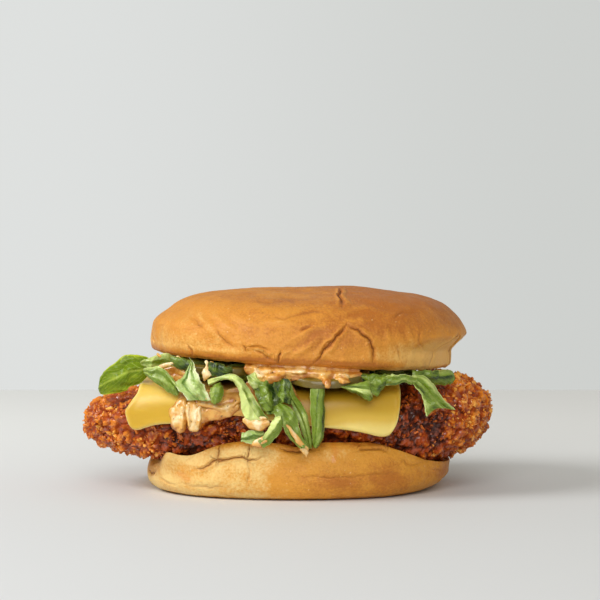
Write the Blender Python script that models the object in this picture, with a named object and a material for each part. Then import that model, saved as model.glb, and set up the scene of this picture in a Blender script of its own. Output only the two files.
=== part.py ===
"""Chicken burger: a crumbed fried fillet in a soft bun with cheese, shredded
lettuce, pickle slices and a herb sauce. All sizes below are in millimetres and
are turned into metres where the meshes are made. +Z is up, the front is at -Y."""

import math

import bmesh
import bpy
from mathutils import Vector

MM = 0.001
GAP = 0.45  # clear space kept between two pieces that rest on each other

# Top bun: a soft round bun, pressed down a little more on its right side
TOP_CENTRE_X = 7.5
TOP_HALF_LENGTH = 55.0
TOP_HALF_DEPTH = 53.5
TOP_CREST = 68.6
TOP_BASE_LEFT = 47.0
TOP_BASE_RIGHT = 41.2
TOP_BASE_CUP = 1.2
TOP_LIP_HEIGHT = 0.46  # share of the height at which the right side overhangs
TOP_LIP_UNDERCUT = 0.10

# Bottom bun: flat underneath, its rim raised at front and back around the fillet
HEEL_CENTRE_X = 3.7
HEEL_HALF_LENGTH = 52.5
HEEL_HALF_DEPTH = 51.0
HEEL_END_RIM = 8.4
HEEL_FRONT_RIM = 19.2
HEEL_RIM_DIP = 1.6
HEEL_RIGHT_LIFT = 2.4  # the right end curls up from the table
HEEL_FLOOR = 9.2
HEEL_CLEARANCE = 0.9

# Fillet: longer than the bun, thicker at its right end
FILLET_HALF_LENGTH = 71.0
FILLET_HALF_DEPTH = 46.5
FILLET_MIDDLE = 22.6
FILLET_HALF_THICK = 12.4
FILLET_RIGHT_MIDDLE = 24.6
FILLET_RIGHT_HALF_THICK = 16.6
FILLET_SQUARENESS = 4.0
FILLET_LOW_WIDTH = 0.93  # the lower half, as a share of the full depth

# Cheese: one square slice, its front edge hanging over the fillet
CHEESE_THICK = 2.2
CHEESE_LEFT = -50.5
CHEESE_RIGHT = 38.6
CHEESE_BACK = 36.0
CHEESE_STANDOFF = 3.4  # from the fillet's front to the middle of the slice
CHEESE_BEND = 5.0

# Lettuce: a bed of shreds under the top bun, with single shreds hanging out
LEAF_THICK = 0.9
BED_CENTRE_X = -1.5
BED_HALF_LENGTH = 43.5
BED_HALF_DEPTH = 46.5

# Pickle slices, bent down at the front over the lettuce
PICKLE_RADIUS = 15.0
PICKLE_THICK = 2.6
PICKLE_DROOP = 2.6
PICKLE_SPOT = Vector((12.6, -39.8, 41.3))
REAR_PICKLE_SPOT = Vector((-19.5, -33.5, 42.9))


def clear_scene():
    for thing in list(bpy.data.objects):
        bpy.data.objects.remove(thing, do_unlink=True)


def make_material(name, colour, roughness):
    material = bpy.data.materials.new(name)
    material.use_nodes = True
    shader = material.node_tree.nodes["Principled BSDF"]
    shader.inputs["Base Color"].default_value = (*colour, 1.0)
    shader.inputs["Roughness"].default_value = roughness
    shader.inputs["Metallic"].default_value = 0.0
    material.diffuse_color = (*colour, 1.0)
    return material


def ease(low, high, value):
    """0 below low, 1 above high, and a smooth rise between them."""
    share = min(1.0, max(0.0, (value - low) / (high - low)))
    return share * share * (3.0 - 2.0 * share)


def mix(first, second, share):
    return first + (second - first) * share


def bump(x, y, at, size, height):
    """A round swelling of this height around a spot in the x, y plane."""
    away = ((x - at[0]) ** 2 + (y - at[1]) ** 2) / (size * size)
    return height * math.exp(-away)


def smooth_value(knots, at):
    """Reads a smooth curve through (position, value) pairs."""
    if at <= knots[0][0]:
        return knots[0][1]
    for (left, low), (right, high) in zip(knots, knots[1:]):
        if at <= right:
            return mix(low, high, ease(left, right, at))
    return knots[-1][1]


def finish(name, mesh_data, material):
    """Turns a bmesh in millimetres into a named, closed, outward-facing object."""
    bmesh.ops.recalc_face_normals(mesh_data, faces=mesh_data.faces)
    if mesh_data.calc_volume(signed=True) < 0.0:
        bmesh.ops.reverse_faces(mesh_data, faces=mesh_data.faces)
    bmesh.ops.triangulate(mesh_data, faces=mesh_data.faces)
    bmesh.ops.scale(mesh_data, vec=(MM, MM, MM), verts=mesh_data.verts)
    mesh = bpy.data.meshes.new(name)
    mesh_data.to_mesh(mesh)
    mesh_data.free()
    mesh.shade_smooth()
    mesh.materials.append(material)
    thing = bpy.data.objects.new(name, mesh)
    bpy.context.scene.collection.objects.link(thing)
    return thing


def lathe_like(name, rings, first_pole, last_pole, material):
    """A closed body from rings of equal count with a point at each end."""
    data = bmesh.new()
    loops = [[data.verts.new(point) for point in ring] for ring in rings]
    count = len(loops[0])
    for lower, upper in zip(loops, loops[1:]):
        for i in range(count):
            j = (i + 1) % count
            data.faces.new((lower[i], lower[j], upper[j], upper[i]))
    for pole, loop in ((first_pole, loops[0]), (last_pole, loops[-1])):
        tip = data.verts.new(pole)
        for i in range(count):
            data.faces.new((loop[i], loop[(i + 1) % count], tip))
    return finish(name, data, material)


def sheet_like(name, upper, lower, material):
    """A closed sheet from two grids of points, its upper and its lower side."""
    data = bmesh.new()
    top = [[data.verts.new(point) for point in row] for row in upper]
    low = [[data.verts.new(point) for point in row] for row in lower]
    rows = len(top)
    columns = len(top[0])
    for i in range(rows - 1):
        for j in range(columns - 1):
            data.faces.new((top[i][j], top[i + 1][j], top[i + 1][j + 1], top[i][j + 1]))
            data.faces.new((low[i][j], low[i][j + 1], low[i + 1][j + 1], low[i + 1][j]))
    rim = [(0, j) for j in range(columns)]
    rim += [(i, columns - 1) for i in range(1, rows)]
    rim += [(rows - 1, j) for j in range(columns - 2, -1, -1)]
    rim += [(i, 0) for i in range(rows - 2, 0, -1)]
    for here, after in zip(rim, rim[1:] + rim[:1]):
        a, b = top[here[0]][here[1]], top[after[0]][after[1]]
        c, d = low[after[0]][after[1]], low[here[0]][here[1]]
        data.faces.new((a, b, c, d))
    return finish(name, data, material)


def oval(angle, half_length, half_depth, squareness):
    """A point of a superellipse, in plan."""
    c, s = math.cos(angle), math.sin(angle)
    size = (abs(c) ** squareness + abs(s) ** squareness) ** (-1.0 / squareness)
    return half_length * c * size, half_depth * s * size


# ---------------------------------------------------------------- top bun


def top_base(x, y):
    """Height of the cut face of the top bun."""
    tilt = mix(TOP_BASE_LEFT, TOP_BASE_RIGHT, (x + 47.0) / 104.0)
    inside = ((x - TOP_CENTRE_X) / 46.0) ** 2 + (y / 44.0) ** 2
    return tilt + TOP_BASE_CUP * max(0.0, 1.0 - inside)


def top_crest(x, y):
    """Height of the crust at the middle of the bun, a shallow dome with dents."""
    height = TOP_CREST
    height += bump(x, y, (22.0, -4.0), 16.0, 0.9)
    height -= bump(x, y, (4.0, -30.0), 13.0, 1.0)
    height -= bump(x, y, (-30.0, 18.0), 17.0, 1.1)
    height -= bump(x, y, (34.0, 30.0), 15.0, 1.3)
    return height


TOP_PROFILE = (
    (0.30, 0.0), (0.58, 0.0), (0.80, 0.0), (0.915, 0.0), (0.965, 0.015),
    (0.987, 0.06), (0.998, 0.14), (1.0, 0.25), (0.997, 0.36), (0.987, 0.47),
    (0.966, 0.58), (0.930, 0.68), (0.880, 0.775), (0.810, 0.855), (0.720, 0.915),
    (0.600, 0.955), (0.440, 0.985), (0.240, 1.0),
)


def make_top_bun(material):
    around = 48
    rings = []
    for share, rise in TOP_PROFILE:
        ring = []
        for i in range(around):
            angle = 2.0 * math.pi * i / around
            right = ease(0.30, 0.92, math.cos(angle))
            left = ease(0.30, 0.92, -math.cos(angle))
            reach = share
            undercut = 1.0 - ease(0.22, TOP_LIP_HEIGHT, rise)
            reach *= 1.0 - TOP_LIP_UNDERCUT * right * undercut * ease(0.8, 1.0, share)
            reach *= 1.0 + 0.014 * right * math.exp(-(((rise - 0.46) / 0.09) ** 2))
            shoulder = ease(0.45, 0.72, rise) * (1.0 - ease(0.92, 1.0, rise))
            reach *= 1.0 - (0.045 * left + 0.022 * right) * shoulder
            reach *= 1.0 + 0.006 * math.sin(3.0 * angle + 0.7)
            x, y = oval(angle, TOP_HALF_LENGTH, TOP_HALF_DEPTH, 2.25)
            x, y = TOP_CENTRE_X + x * reach, y * reach
            base, crest = top_base(x, y), top_crest(x, y)
            z = mix(base, crest, rise)
            z += 0.5 * math.sin(2.0 * angle + 1.2) * ease(0.1, 0.5, rise) * share
            ring.append(Vector((x, y, z)))
        rings.append(ring)
    middle = TOP_CENTRE_X
    bottom = Vector((middle, 0.0, top_base(middle, 0.0)))
    crown = Vector((middle, 0.0, top_crest(middle, 0.0)))
    return lathe_like("bun_top", rings, bottom, crown, material)


# ---------------------------------------------------------------- fillet


def fillet_section(x):
    """Middle height and half thickness of the fillet at this x."""
    swell = ease(41.0, 58.0, x)
    middle = mix(FILLET_MIDDLE, FILLET_RIGHT_MIDDLE, swell)
    half = mix(FILLET_HALF_THICK, FILLET_RIGHT_HALF_THICK, swell)
    middle -= 0.3 * ease(45.0, 62.0, -x)
    return middle, half


def fillet_narrowing(rise):
    """The lower half of the fillet is a little narrower, where the bun holds it."""
    return mix(FILLET_LOW_WIDTH, 1.0, ease(-0.35, 0.15, rise))


def fillet_underside(x, y):
    """Height of the fillet's lower surface above x, y, or None beside the fillet."""
    c = abs(x) / FILLET_HALF_LENGTH
    s = abs(y) / (FILLET_HALF_DEPTH * FILLET_LOW_WIDTH + 1.3)
    reach = (c**2.35 + s**2.35) ** (1.0 / 2.35)
    if reach >= 1.0:
        return None
    middle, half = fillet_section(x)
    rise = (1.0 - reach**FILLET_SQUARENESS) ** (1.0 / FILLET_SQUARENESS)
    return middle - half * rise


def make_fillet(material):
    around, levels = 52, 17
    rings = []
    for k in range(1, levels):
        tilt = math.pi * (k / levels - 0.5)
        rise = math.sin(tilt)
        rise = math.copysign(abs(rise) ** 0.85, rise)
        reach = (1.0 - abs(rise) ** FILLET_SQUARENESS) ** (1.0 / FILLET_SQUARENESS)
        side = 1.0 if abs(rise) < 0.97 else 0.93
        ring = []
        for i in range(around):
            angle = 2.0 * math.pi * i / around
            x, y = oval(angle, FILLET_HALF_LENGTH, FILLET_HALF_DEPTH, 2.35)
            lump = 1.0 + 0.008 * math.sin(5.0 * angle + 2.0 * rise)
            lump += 0.006 * math.sin(9.0 * angle - 3.0 * rise + 1.0)
            lump -= 0.012 * ease(0.5, 1.0, -math.cos(angle)) * max(0.0, rise)
            x, y = x * reach * side * lump, y * reach * side * lump
            y *= fillet_narrowing(rise)
            ends = ease(0.62, 0.98, abs(x) / FILLET_HALF_LENGTH)
            x *= 1.0 - 0.075 * ends * ease(0.10, 0.95, -rise)
            x *= 1.0 - 0.025 * ends * ease(0.30, 0.95, rise)
            middle, half = fillet_section(x)
            ripple = 0.35 * math.sin(0.21 * x + 1.3) * math.cos(0.17 * y)
            z = middle + half * rise + ripple * abs(rise)
            ring.append(Vector((x, y, z)))
        rings.append(ring)
    low = Vector((0.0, 0.0, FILLET_MIDDLE - FILLET_HALF_THICK))
    high = Vector((0.0, 0.0, FILLET_MIDDLE + FILLET_HALF_THICK))
    return lathe_like("chicken_fillet", rings, low, high, material)


# ---------------------------------------------------------------- bottom bun


def heel_rim(angle):
    """Height of the bun's rim, high where the fillet doesn't press it down."""
    raised = ease(0.40, 0.96, abs(math.sin(angle)))
    rim = mix(HEEL_END_RIM, HEEL_FRONT_RIM, raised)
    dip = math.exp(-((math.cos(angle) - 0.02) / 0.12) ** 2)
    return rim - HEEL_RIM_DIP * dip


def heel_top(x, y, wanted):
    """Height of the bun here: as wanted, but pressed down under the fillet."""
    under = fillet_underside(x, y)
    if under is None:
        return wanted
    return min(wanted, under - HEEL_CLEARANCE)


HEEL_OUTSIDE = (
    (0.40, 0.0), (0.82, 0.0), (0.90, 0.012), (0.95, 0.06), (0.980, 0.15),
    (0.996, 0.27), (1.0, 0.40), (0.998, 0.54), (0.990, 0.68), (0.978, 0.80),
    (0.962, 0.90), (0.940, 0.97), (0.915, 1.0),
)
HEEL_INSIDE = ((0.895, 0.93), (0.880, 0.70), (0.868, 0.36), (0.850, 0.0), (0.55, 0.0))


def make_heel(material):
    around = 48
    rings = []
    for share, rise in HEEL_OUTSIDE:
        ring = []
        for i in range(around):
            angle = 2.0 * math.pi * i / around
            end = 1.0 - ease(0.3, 0.8, abs(math.sin(angle)))
            reach = share * (1.0 + 0.006 * math.sin(3.0 * angle + 2.1))
            reach -= 0.02 * end * ease(0.75, 1.0, rise)
            x, y = oval(angle, HEEL_HALF_LENGTH, HEEL_HALF_DEPTH, 2.3)
            x, y = HEEL_CENTRE_X + x * reach, y * reach
            lift = HEEL_RIGHT_LIFT * ease(0.55, 1.0, math.cos(angle)) * ease(0.82, 1.0, share)
            z = heel_rim(angle) * rise + lift * (1.0 - ease(0.4, 0.95, rise))
            ring.append(Vector((x, y, heel_top(x, y, z))))
        rings.append(ring)
    for share, rise in HEEL_INSIDE:
        ring = []
        for i in range(around):
            angle = 2.0 * math.pi * i / around
            end = 1.0 - ease(0.3, 0.8, abs(math.sin(angle)))
            x, y = oval(angle, HEEL_HALF_LENGTH, HEEL_HALF_DEPTH, 2.3)
            reach = share - 0.02 * end
            x, y = HEEL_CENTRE_X + x * reach, y * reach
            z = mix(HEEL_FLOOR, max(HEEL_FLOOR, heel_rim(angle)), rise)
            ring.append(Vector((x, y, heel_top(x, y, z))))
        rings.append(ring)
    low = Vector((HEEL_CENTRE_X, 0.0, 0.0))
    high = Vector((HEEL_CENTRE_X, 0.0, heel_top(HEEL_CENTRE_X, 0.0, HEEL_FLOOR)))
    return lathe_like("bun_bottom", rings, low, high, material)


# ---------------------------------------------------------------- cheese

CHEESE_TOP = FILLET_MIDDLE + FILLET_HALF_THICK + GAP + 0.5


def fillet_front(x):
    """Half depth of the fillet at this x."""
    return FILLET_HALF_DEPTH * (1.0 - (abs(x) / FILLET_HALF_LENGTH) ** 2.35) ** (1.0 / 2.35)


def cheese_front(x):
    """The y of the middle of the slice where it hangs at the front."""
    return -fillet_front(x) - CHEESE_STANDOFF


def cheese_sag(x, y):
    """How far the slice sinks where the fillet rounds off under it."""
    c = abs(x) / FILLET_HALF_LENGTH
    s = abs(y) / FILLET_HALF_DEPTH
    reach = min(0.93, (c**2.35 + s**2.35) ** (1.0 / 2.35))
    full = 1.0 - (1.0 - reach**FILLET_SQUARENESS) ** (1.0 / FILLET_SQUARENESS)
    return 0.8 * FILLET_HALF_THICK * full


def before_cheese(x, distance):
    """The y that lies this far in front of the hanging cheese."""
    return cheese_front(x) - 0.5 * CHEESE_THICK - distance


def cheese_edge_height(x):
    """Height of the hanging front edge, with a droop near each corner."""
    knots = (
        (-52.0, 23.0), (-47.0, 24.2), (-36.0, 25.6), (-18.0, 28.0), (0.0, 26.0),
        (12.0, 24.4), (26.0, 23.0), (31.0, 21.8), (37.0, 23.2),
    )
    return smooth_value(knots, x)


def make_cheese(material):
    columns, top_rows, bend_rows, drop_rows = 20, 5, 3, 4
    middle_z = CHEESE_TOP + 0.5 * CHEESE_THICK
    upper, lower = [], []
    for j in range(columns + 1):
        across = j / columns
        left, right = CHEESE_LEFT, CHEESE_RIGHT
        path = []
        x = mix(left, right, across)
        front_y = cheese_front(x)
        bend_y = front_y + CHEESE_BEND
        for i in range(top_rows):
            y = mix(CHEESE_BACK, bend_y, i / top_rows)
            path.append((x, y, middle_z - cheese_sag(x, y), 0.0))
        sag = cheese_sag(x, bend_y)
        for i in range(bend_rows):
            turn = 0.5 * math.pi * i / bend_rows
            y = bend_y - CHEESE_BEND * math.sin(turn)
            z = middle_z - sag - CHEESE_BEND * (1.0 - math.cos(turn))
            path.append((x, y, z, turn))
        start = middle_z - sag - CHEESE_BEND
        stop = cheese_edge_height(x)
        for i in range(drop_rows + 1):
            z = mix(start, stop, i / drop_rows)
            flare = -3.2 * (1.0 - across) ** 8 * math.sin(math.pi * ease(38.0, 21.0, z))
            pull = -3.0 * across**8 * ease(36.0, 22.0, z)
            sway = (-0.6 + 0.3 * math.sin(0.16 * x)) * i / drop_rows
            path.append((x + flare + pull, front_y + sway, z, 0.5 * math.pi))
        half = 0.5 * CHEESE_THICK
        upper.append(
            [Vector((x, y - half * math.sin(t), z + half * math.cos(t))) for x, y, z, t in path]
        )
        lower.append(
            [Vector((x, y + half * math.sin(t), z - half * math.cos(t))) for x, y, z, t in path]
        )
    return sheet_like("cheese_slice", upper, lower, material)


# ---------------------------------------------------------------- pickles


def make_pickle(name, spot, radius, droop, material):
    around = 22
    half = 0.5 * PICKLE_THICK
    steps = (
        (0.5, -half), (0.93, -half), (1.0, -0.72 * half), (1.0, 0.72 * half),
        (0.93, half), (0.5, half),
    )
    rings = []
    for share, offset in steps:
        ring = []
        for i in range(around):
            angle = 2.0 * math.pi * i / around
            x = radius * share * math.cos(angle)
            y = radius * share * math.sin(angle)
            bend = droop * max(0.0, -y / radius) ** 2
            ring.append(spot + Vector((x, y, offset - bend)))
        rings.append(ring)
    low = spot + Vector((0.0, 0.0, -half))
    high = spot + Vector((0.0, 0.0, half))
    return lathe_like(name, rings, low, high, material)


# ---------------------------------------------------------------- lettuce


def near_pickle(x, y):
    """1 on a pickle slice or close to it, 0 well away from it."""
    share = 0.0
    for spot in (PICKLE_SPOT, REAR_PICKLE_SPOT):
        away = math.hypot(x - spot.x, y - spot.y)
        share = max(share, 1.0 - ease(PICKLE_RADIUS + 4.5, PICKLE_RADIUS + 11.0, away))
    return share


def make_lettuce_bed(material):
    around = 44
    floor = CHEESE_TOP + CHEESE_THICK + GAP
    steps = (0.28, 0.50, 0.72, 0.93, 1.0)
    rings = []
    for side in (0, 1):
        for share in steps if side == 0 else reversed(steps):
            ring = []
            for i in range(around):
                angle = 2.0 * math.pi * i / around
                x, y = oval(angle, BED_HALF_LENGTH, BED_HALF_DEPTH, 2.2)
                edge = 1.0 + 0.025 * math.sin(7.0 * angle) + 0.02 * math.sin(11.0 * angle + 1.0)
                x = BED_CENTRE_X + x * share * edge
                y = 1.0 + y * share * edge
                thick = top_base(x, y) - 0.9 - floor
                thick = mix(thick, 1.0, near_pickle(x, y))
                thick = mix(thick, thick * 0.45 + 0.3, ease(0.9, 1.0, share))
                if side == 0:
                    z = floor + 0.25 * thick * ease(0.93, 1.0, share)
                else:
                    z = floor + thick
                ring.append(Vector((x, y, z)))
            rings.append(ring)
    low = Vector((BED_CENTRE_X, 1.0, floor))
    high = Vector((BED_CENTRE_X, 1.0, top_base(BED_CENTRE_X, 1.0) - 0.9))
    return lathe_like("lettuce_bed", rings, low, high, material)


def curve_point(points, at):
    """A point of the smooth curve through these points; at runs from 0 to 1."""
    spans = len(points) - 1
    place = min(at * spans, spans - 1e-9)
    i = int(place)
    t = place - i
    p0 = points[max(i - 1, 0)]
    p1, p2 = points[i], points[i + 1]
    p3 = points[min(i + 2, spans)]
    a = (p2 - p0) * 0.5
    b = (p3 - p1) * 0.5
    t2, t3 = t * t, t * t * t
    return (
        p1 * (2 * t3 - 3 * t2 + 1)
        + a * (t3 - 2 * t2 + t)
        + p2 * (-2 * t3 + 3 * t2)
        + b * (t3 - t2)
    )


def make_leaf(name, route, facing, material, fold=0.15, stations=7, thick=LEAF_THICK):
    """A shred of lettuce: a folded ribbon along a route of (x, y, z, width, turn)."""
    points = [Vector(stop[:3]) for stop in route]
    extra = [Vector((stop[3], stop[4], 0.0)) for stop in route]
    upper, lower = [], []
    for k in range(stations):
        at = k / (stations - 1)
        here = curve_point(points, at)
        ahead = curve_point(points, min(1.0, at + 0.02)) - curve_point(points, max(0.0, at - 0.02))
        ahead.normalize()
        width, turn, _ = curve_point(extra, at)
        out = Vector(facing)
        out -= ahead * out.dot(ahead)
        out.normalize()
        side = ahead.cross(out)
        angle = math.radians(turn)
        side, out = (
            side * math.cos(angle) + out * math.sin(angle),
            out * math.cos(angle) - side * math.sin(angle),
        )
        half = 0.5 * width
        row_up, row_low = [], []
        for across in (-1.0, 0.0, 1.0):
            middle = here + side * (half * across) + out * (fold * width * (0.5 - abs(across)))
            row_up.append(middle + out * (0.5 * thick))
            row_low.append(middle - out * (0.5 * thick))
        upper.append(row_up)
        lower.append(row_low)
    return sheet_like(name, upper, lower, material)


FRONT = (0.0, -1.0, 0.0)
UP = (0.0, -0.35, 1.0)

# Shreds that hang down the front: name, facing, fold and stops of
# (x, distance in front of the cheese, z, width, turn).
HANGING_LEAVES = (
    ("lettuce_leaf_over_cheese", (-0.3, -0.9, 0.5), 0.12, (
        (-48.4, -1.5, 41.6, 4.5, 0.0), (-43.4, 1.6, 41.0, 6.3, 0.0),
        (-38.8, 1.8, 38.2, 6.3, 0.0), (-36.8, 1.6, 35.4, 3.6, 0.0))),
    ("lettuce_leaf_spiked", (-0.2, -1.0, 0.3), -0.10, (
        (-34.6, -3.4, 46.0, 1.8, 0.0), (-33.2, 0.6, 41.6, 6.2, 0.0),
        (-31.2, 2.6, 37.6, 10.0, 0.0), (-29.9, 2.8, 33.8, 7.5, 0.0))),
    ("lettuce_curl_small", (0.2, -1.0, 0.2), 0.35, (
        (-23.6, 0.4, 39.4, 4.5, 0.0), (-21.9, 2.4, 36.6, 5.6, 0.0),
        (-22.6, 3.0, 33.8, 3.2, 0.0))),
    ("lettuce_strip_arched", (0.0, -1.0, 0.35), 0.16, (
        (-21.8, 0.4, 41.6, 3.6, 0.0), (-17.4, 3.0, 42.4, 4.6, 0.0),
        (-13.0, 4.4, 37.8, 5.8, 0.0), (-10.0, 4.4, 31.6, 6.6, 0.0),
        (-7.4, 3.6, 25.4, 5.0, 0.0))),
    ("lettuce_tip_pale", (0.0, -1.0, 0.1), 0.10, (
        (-14.2, 3.0, 22.8, 4.6, 0.0), (-11.2, 3.4, 22.0, 5.0, 0.0),
        (-8.8, 3.0, 21.8, 4.2, 0.0))),
    ("lettuce_strip_zigzag", (0.0, -1.0, 0.1), 0.10, (
        (-6.6, 5.2, 22.0, 4.0, 0.0), (-4.7, 5.6, 24.8, 4.2, 0.0),
        (-3.6, 5.6, 28.0, 3.4, 0.0))),
    ("lettuce_fold_middle", (0.0, -1.0, 0.25), 0.14, (
        (-4.6, 3.0, 33.2, 5.0, 0.0), (-0.6, 4.6, 31.6, 6.2, 0.0),
        (2.3, 5.0, 27.6, 5.8, 0.0), (4.3, 5.0, 22.8, 4.2, 0.0),
        (6.8, 4.8, 19.2, 3.0, 0.0))),
    ("lettuce_dark_shred", FRONT, 0.10, (
        (-9.2, 1.2, 36.0, 4.2, 0.0), (-6.2, 1.8, 36.8, 4.4, 0.0),
        (-3.2, 1.6, 37.6, 3.0, 0.0))),
    ("lettuce_strip_long", (0.2, -1.0, 0.0), 0.18, (
        (0.9, 2.2, 37.0, 3.4, 0.0), (3.8, 2.4, 32.4, 4.6, 0.0),
        (5.9, 2.4, 26.2, 4.2, 0.0), (7.2, 2.4, 20.2, 1.8, 0.0))),
    ("lettuce_strip_rolled", FRONT, 0.28, (
        (10.9, 2.4, 36.8, 4.8, 0.0), (10.8, 3.0, 31.0, 4.6, 0.0),
        (10.6, 3.4, 25.0, 4.6, 0.0), (10.4, 3.0, 19.0, 3.2, 0.0))),
    ("lettuce_funnel", (0.3, -1.0, 0.3), -0.30, (
        (18.8, 2.6, 36.4, 2.4, 0.0), (23.4, 3.6, 36.0, 5.0, 0.0),
        (27.6, 3.8, 36.4, 6.2, 0.0), (30.2, 2.6, 38.6, 4.0, 0.0))),
    ("lettuce_ruffle_right", (0.2, -0.6, 0.8), 0.12, (
        (33.8, 1.0, 40.2, 4.0, 0.0), (39.0, 1.6, 39.8, 5.0, 0.0),
        (42.8, 1.2, 39.4, 4.6, 0.0))),
    ("lettuce_leaf_hanging", (0.3, -1.0, 0.2), 0.12, (
        (46.4, 0.4, 37.4, 7.0, 0.0), (49.4, 1.6, 34.2, 7.4, 0.0),
        (51.6, 2.2, 31.0, 8.6, 0.0), (53.2, 2.6, 28.6, 8.8, 0.0))),
)

# Leaves that lie between the fillet and the bun: stops of (x, y, z, width, turn).
LYING_LEAVES = (
    ("lettuce_leaf_left", (-0.35, -0.9, 0.35), 0.10, (
        (-51.0, -27.0, 41.2, 6.0, 0.0), (-55.2, -25.5, 41.4, 10.5, 0.0),
        (-60.0, -22.5, 39.4, 11.0, 0.0), (-64.4, -19.0, 36.4, 6.0, 0.0))),
    ("lettuce_leaf_upper_left", UP, 0.10, (
        (-40.6, -32.5, 44.4, 6.0, 0.0), (-45.6, -30.5, 44.6, 6.4, 0.0),
        (-50.2, -28.0, 45.2, 3.4, 0.0))),
    ("lettuce_roll_right", (0.2, -0.7, 0.7), 0.40, (
        (47.4, -36.0, 39.8, 4.2, 0.0), (51.6, -34.2, 39.8, 4.4, 0.0),
        (55.6, -31.4, 39.2, 3.8, 0.0))),
)


# ---------------------------------------------------------------- sauce


def lumpy_sheet(name, spine, facing, material, stations=9, sides=8):
    """A poured ribbon of sauce with a rounded section; stops are (x, y, z, width, thick)."""
    points = [Vector(stop[:3]) for stop in spine]
    extra = [Vector((stop[3], stop[4], 0.0)) for stop in spine]
    rings = []
    for k in range(stations):
        at = 0.02 + 0.96 * k / (stations - 1)
        here = curve_point(points, at)
        ahead = curve_point(points, min(1.0, at + 0.02)) - curve_point(points, max(0.0, at - 0.02))
        ahead.normalize()
        out = Vector(facing)
        out -= ahead * out.dot(ahead)
        out.normalize()
        side = ahead.cross(out)
        width, thick, _ = curve_point(extra, at)
        ring = []
        for i in range(sides):
            angle = 2.0 * math.pi * i / sides
            ring.append(
                here + side * (0.5 * width * math.cos(angle)) + out * (0.5 * thick * math.sin(angle))
            )
        rings.append(ring)
    return lathe_like(name, rings, points[0], points[-1], material)


# Stops of (x, distance in front of the cheese, z, width, thickness).
SAUCES = (
    ("sauce_layer", (0.0, -0.6, 0.8), (
        (-13.6, -0.4, 42.4, 1.2, 1.0), (-9.0, 1.2, 41.6, 6.0, 3.0),
        (-3.4, 2.2, 41.4, 6.0, 2.8), (2.6, 3.8, 41.7, 3.2, 1.3),
        (12.0, 5.6, 41.4, 2.6, 1.0), (21.0, 5.2, 41.4, 2.6, 1.0),
        (26.4, 3.4, 41.4, 1.0, 0.8))),
    ("sauce_drip_upper", FRONT, (
        (-28.6, 4.2, 42.0, 1.6, 1.0), (-27.4, 4.2, 41.0, 4.2, 1.6),
        (-27.4, 4.4, 39.4, 3.2, 1.4), (-27.8, 4.6, 38.4, 1.0, 0.8))),
    ("sauce_drip_left", (-0.3, -1.0, 0.0), (
        (-38.8, 1.3, 33.2, 1.6, 1.0), (-37.7, 1.5, 30.4, 5.6, 2.0),
        (-36.9, 1.8, 26.8, 7.6, 2.4), (-36.4, 1.6, 22.8, 3.0, 1.6))),
    ("sauce_ridge", (0.0, -1.0, 0.2), (
        (-31.0, 1.6, 23.4, 2.4, 1.6), (-30.2, 2.2, 27.2, 5.6, 2.6),
        (-27.6, 2.2, 30.2, 6.0, 2.6), (-21.0, 1.8, 30.6, 5.6, 2.2),
        (-15.6, 1.6, 31.4, 2.0, 1.2))),
)


def main():
    clear_scene()
    crust = make_material("bun_crust", (0.62, 0.30, 0.09), 0.5)
    heel_crust = make_material("heel_crust", (0.68, 0.38, 0.15), 0.6)
    fried = make_material("fried_crumb", (0.36, 0.10, 0.03), 0.55)
    cheese = make_material("cheese", (0.86, 0.62, 0.19), 0.4)
    leaf = make_material("lettuce", (0.17, 0.36, 0.05), 0.4)
    pale_leaf = make_material("pale_lettuce", (0.45, 0.60, 0.24), 0.35)
    pickle = make_material("pickle", (0.34, 0.36, 0.13), 0.3)
    sauce = make_material("sauce", (0.84, 0.48, 0.22), 0.25)
    pale_names = ("lettuce_leaf_spiked", "lettuce_tip_pale")

    things = [
        make_top_bun(crust),
        make_heel(heel_crust),
        make_fillet(fried),
        make_cheese(cheese),
        make_lettuce_bed(leaf),
        make_pickle("pickle_slice", PICKLE_SPOT, PICKLE_RADIUS, PICKLE_DROOP, pickle),
        make_pickle("pickle_slice_rear", REAR_PICKLE_SPOT, 13.5, 0.4, pickle),
    ]
    for name, facing, fold, stops in HANGING_LEAVES:
        skin = pale_leaf if name in pale_names else leaf
        route = [(x, before_cheese(x, out), z, wide, turn) for x, out, z, wide, turn in stops]
        things.append(make_leaf(name, route, facing, skin, fold))
    for name, facing, fold, route in LYING_LEAVES:
        things.append(make_leaf(name, route, facing, leaf, fold))
    for name, facing, stops in SAUCES:
        spine = [(x, before_cheese(x, out), z, wide, deep) for x, out, z, wide, deep in stops]
        things.append(lumpy_sheet(name, spine, facing, sauce))

    # The whole burger stands centred over the origin, on z = 0.
    corners = [vertex.co for thing in things for vertex in thing.data.vertices]
    low = [min(corner[axis] for corner in corners) for axis in range(3)]
    high = [max(corner[axis] for corner in corners) for axis in range(3)]
    burger = bpy.data.objects.new("burger", None)
    bpy.context.scene.collection.objects.link(burger)
    burger.location = (-0.5 * (low[0] + high[0]), -0.5 * (low[1] + high[1]), -low[2])
    for thing in things:
        thing.parent = burger
    print("centred by", [round(1000 * value, 3) for value in burger.location])


main()
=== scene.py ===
# %% [markdown]
# # A crumbed chicken burger
# The burger stands on a pale floor in soft light. Its pieces are made from the bottom up: bun,
# fillet, cheese, lettuce, pickles, sauce and the top of the bun. Every length below is in
# millimetres, because food is easier to think of that way, and `build` turns it into metres.

# %% Load the frame
import math

import bmesh
import bpy
import numpy as np
from mathutils import Matrix, Vector


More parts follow.
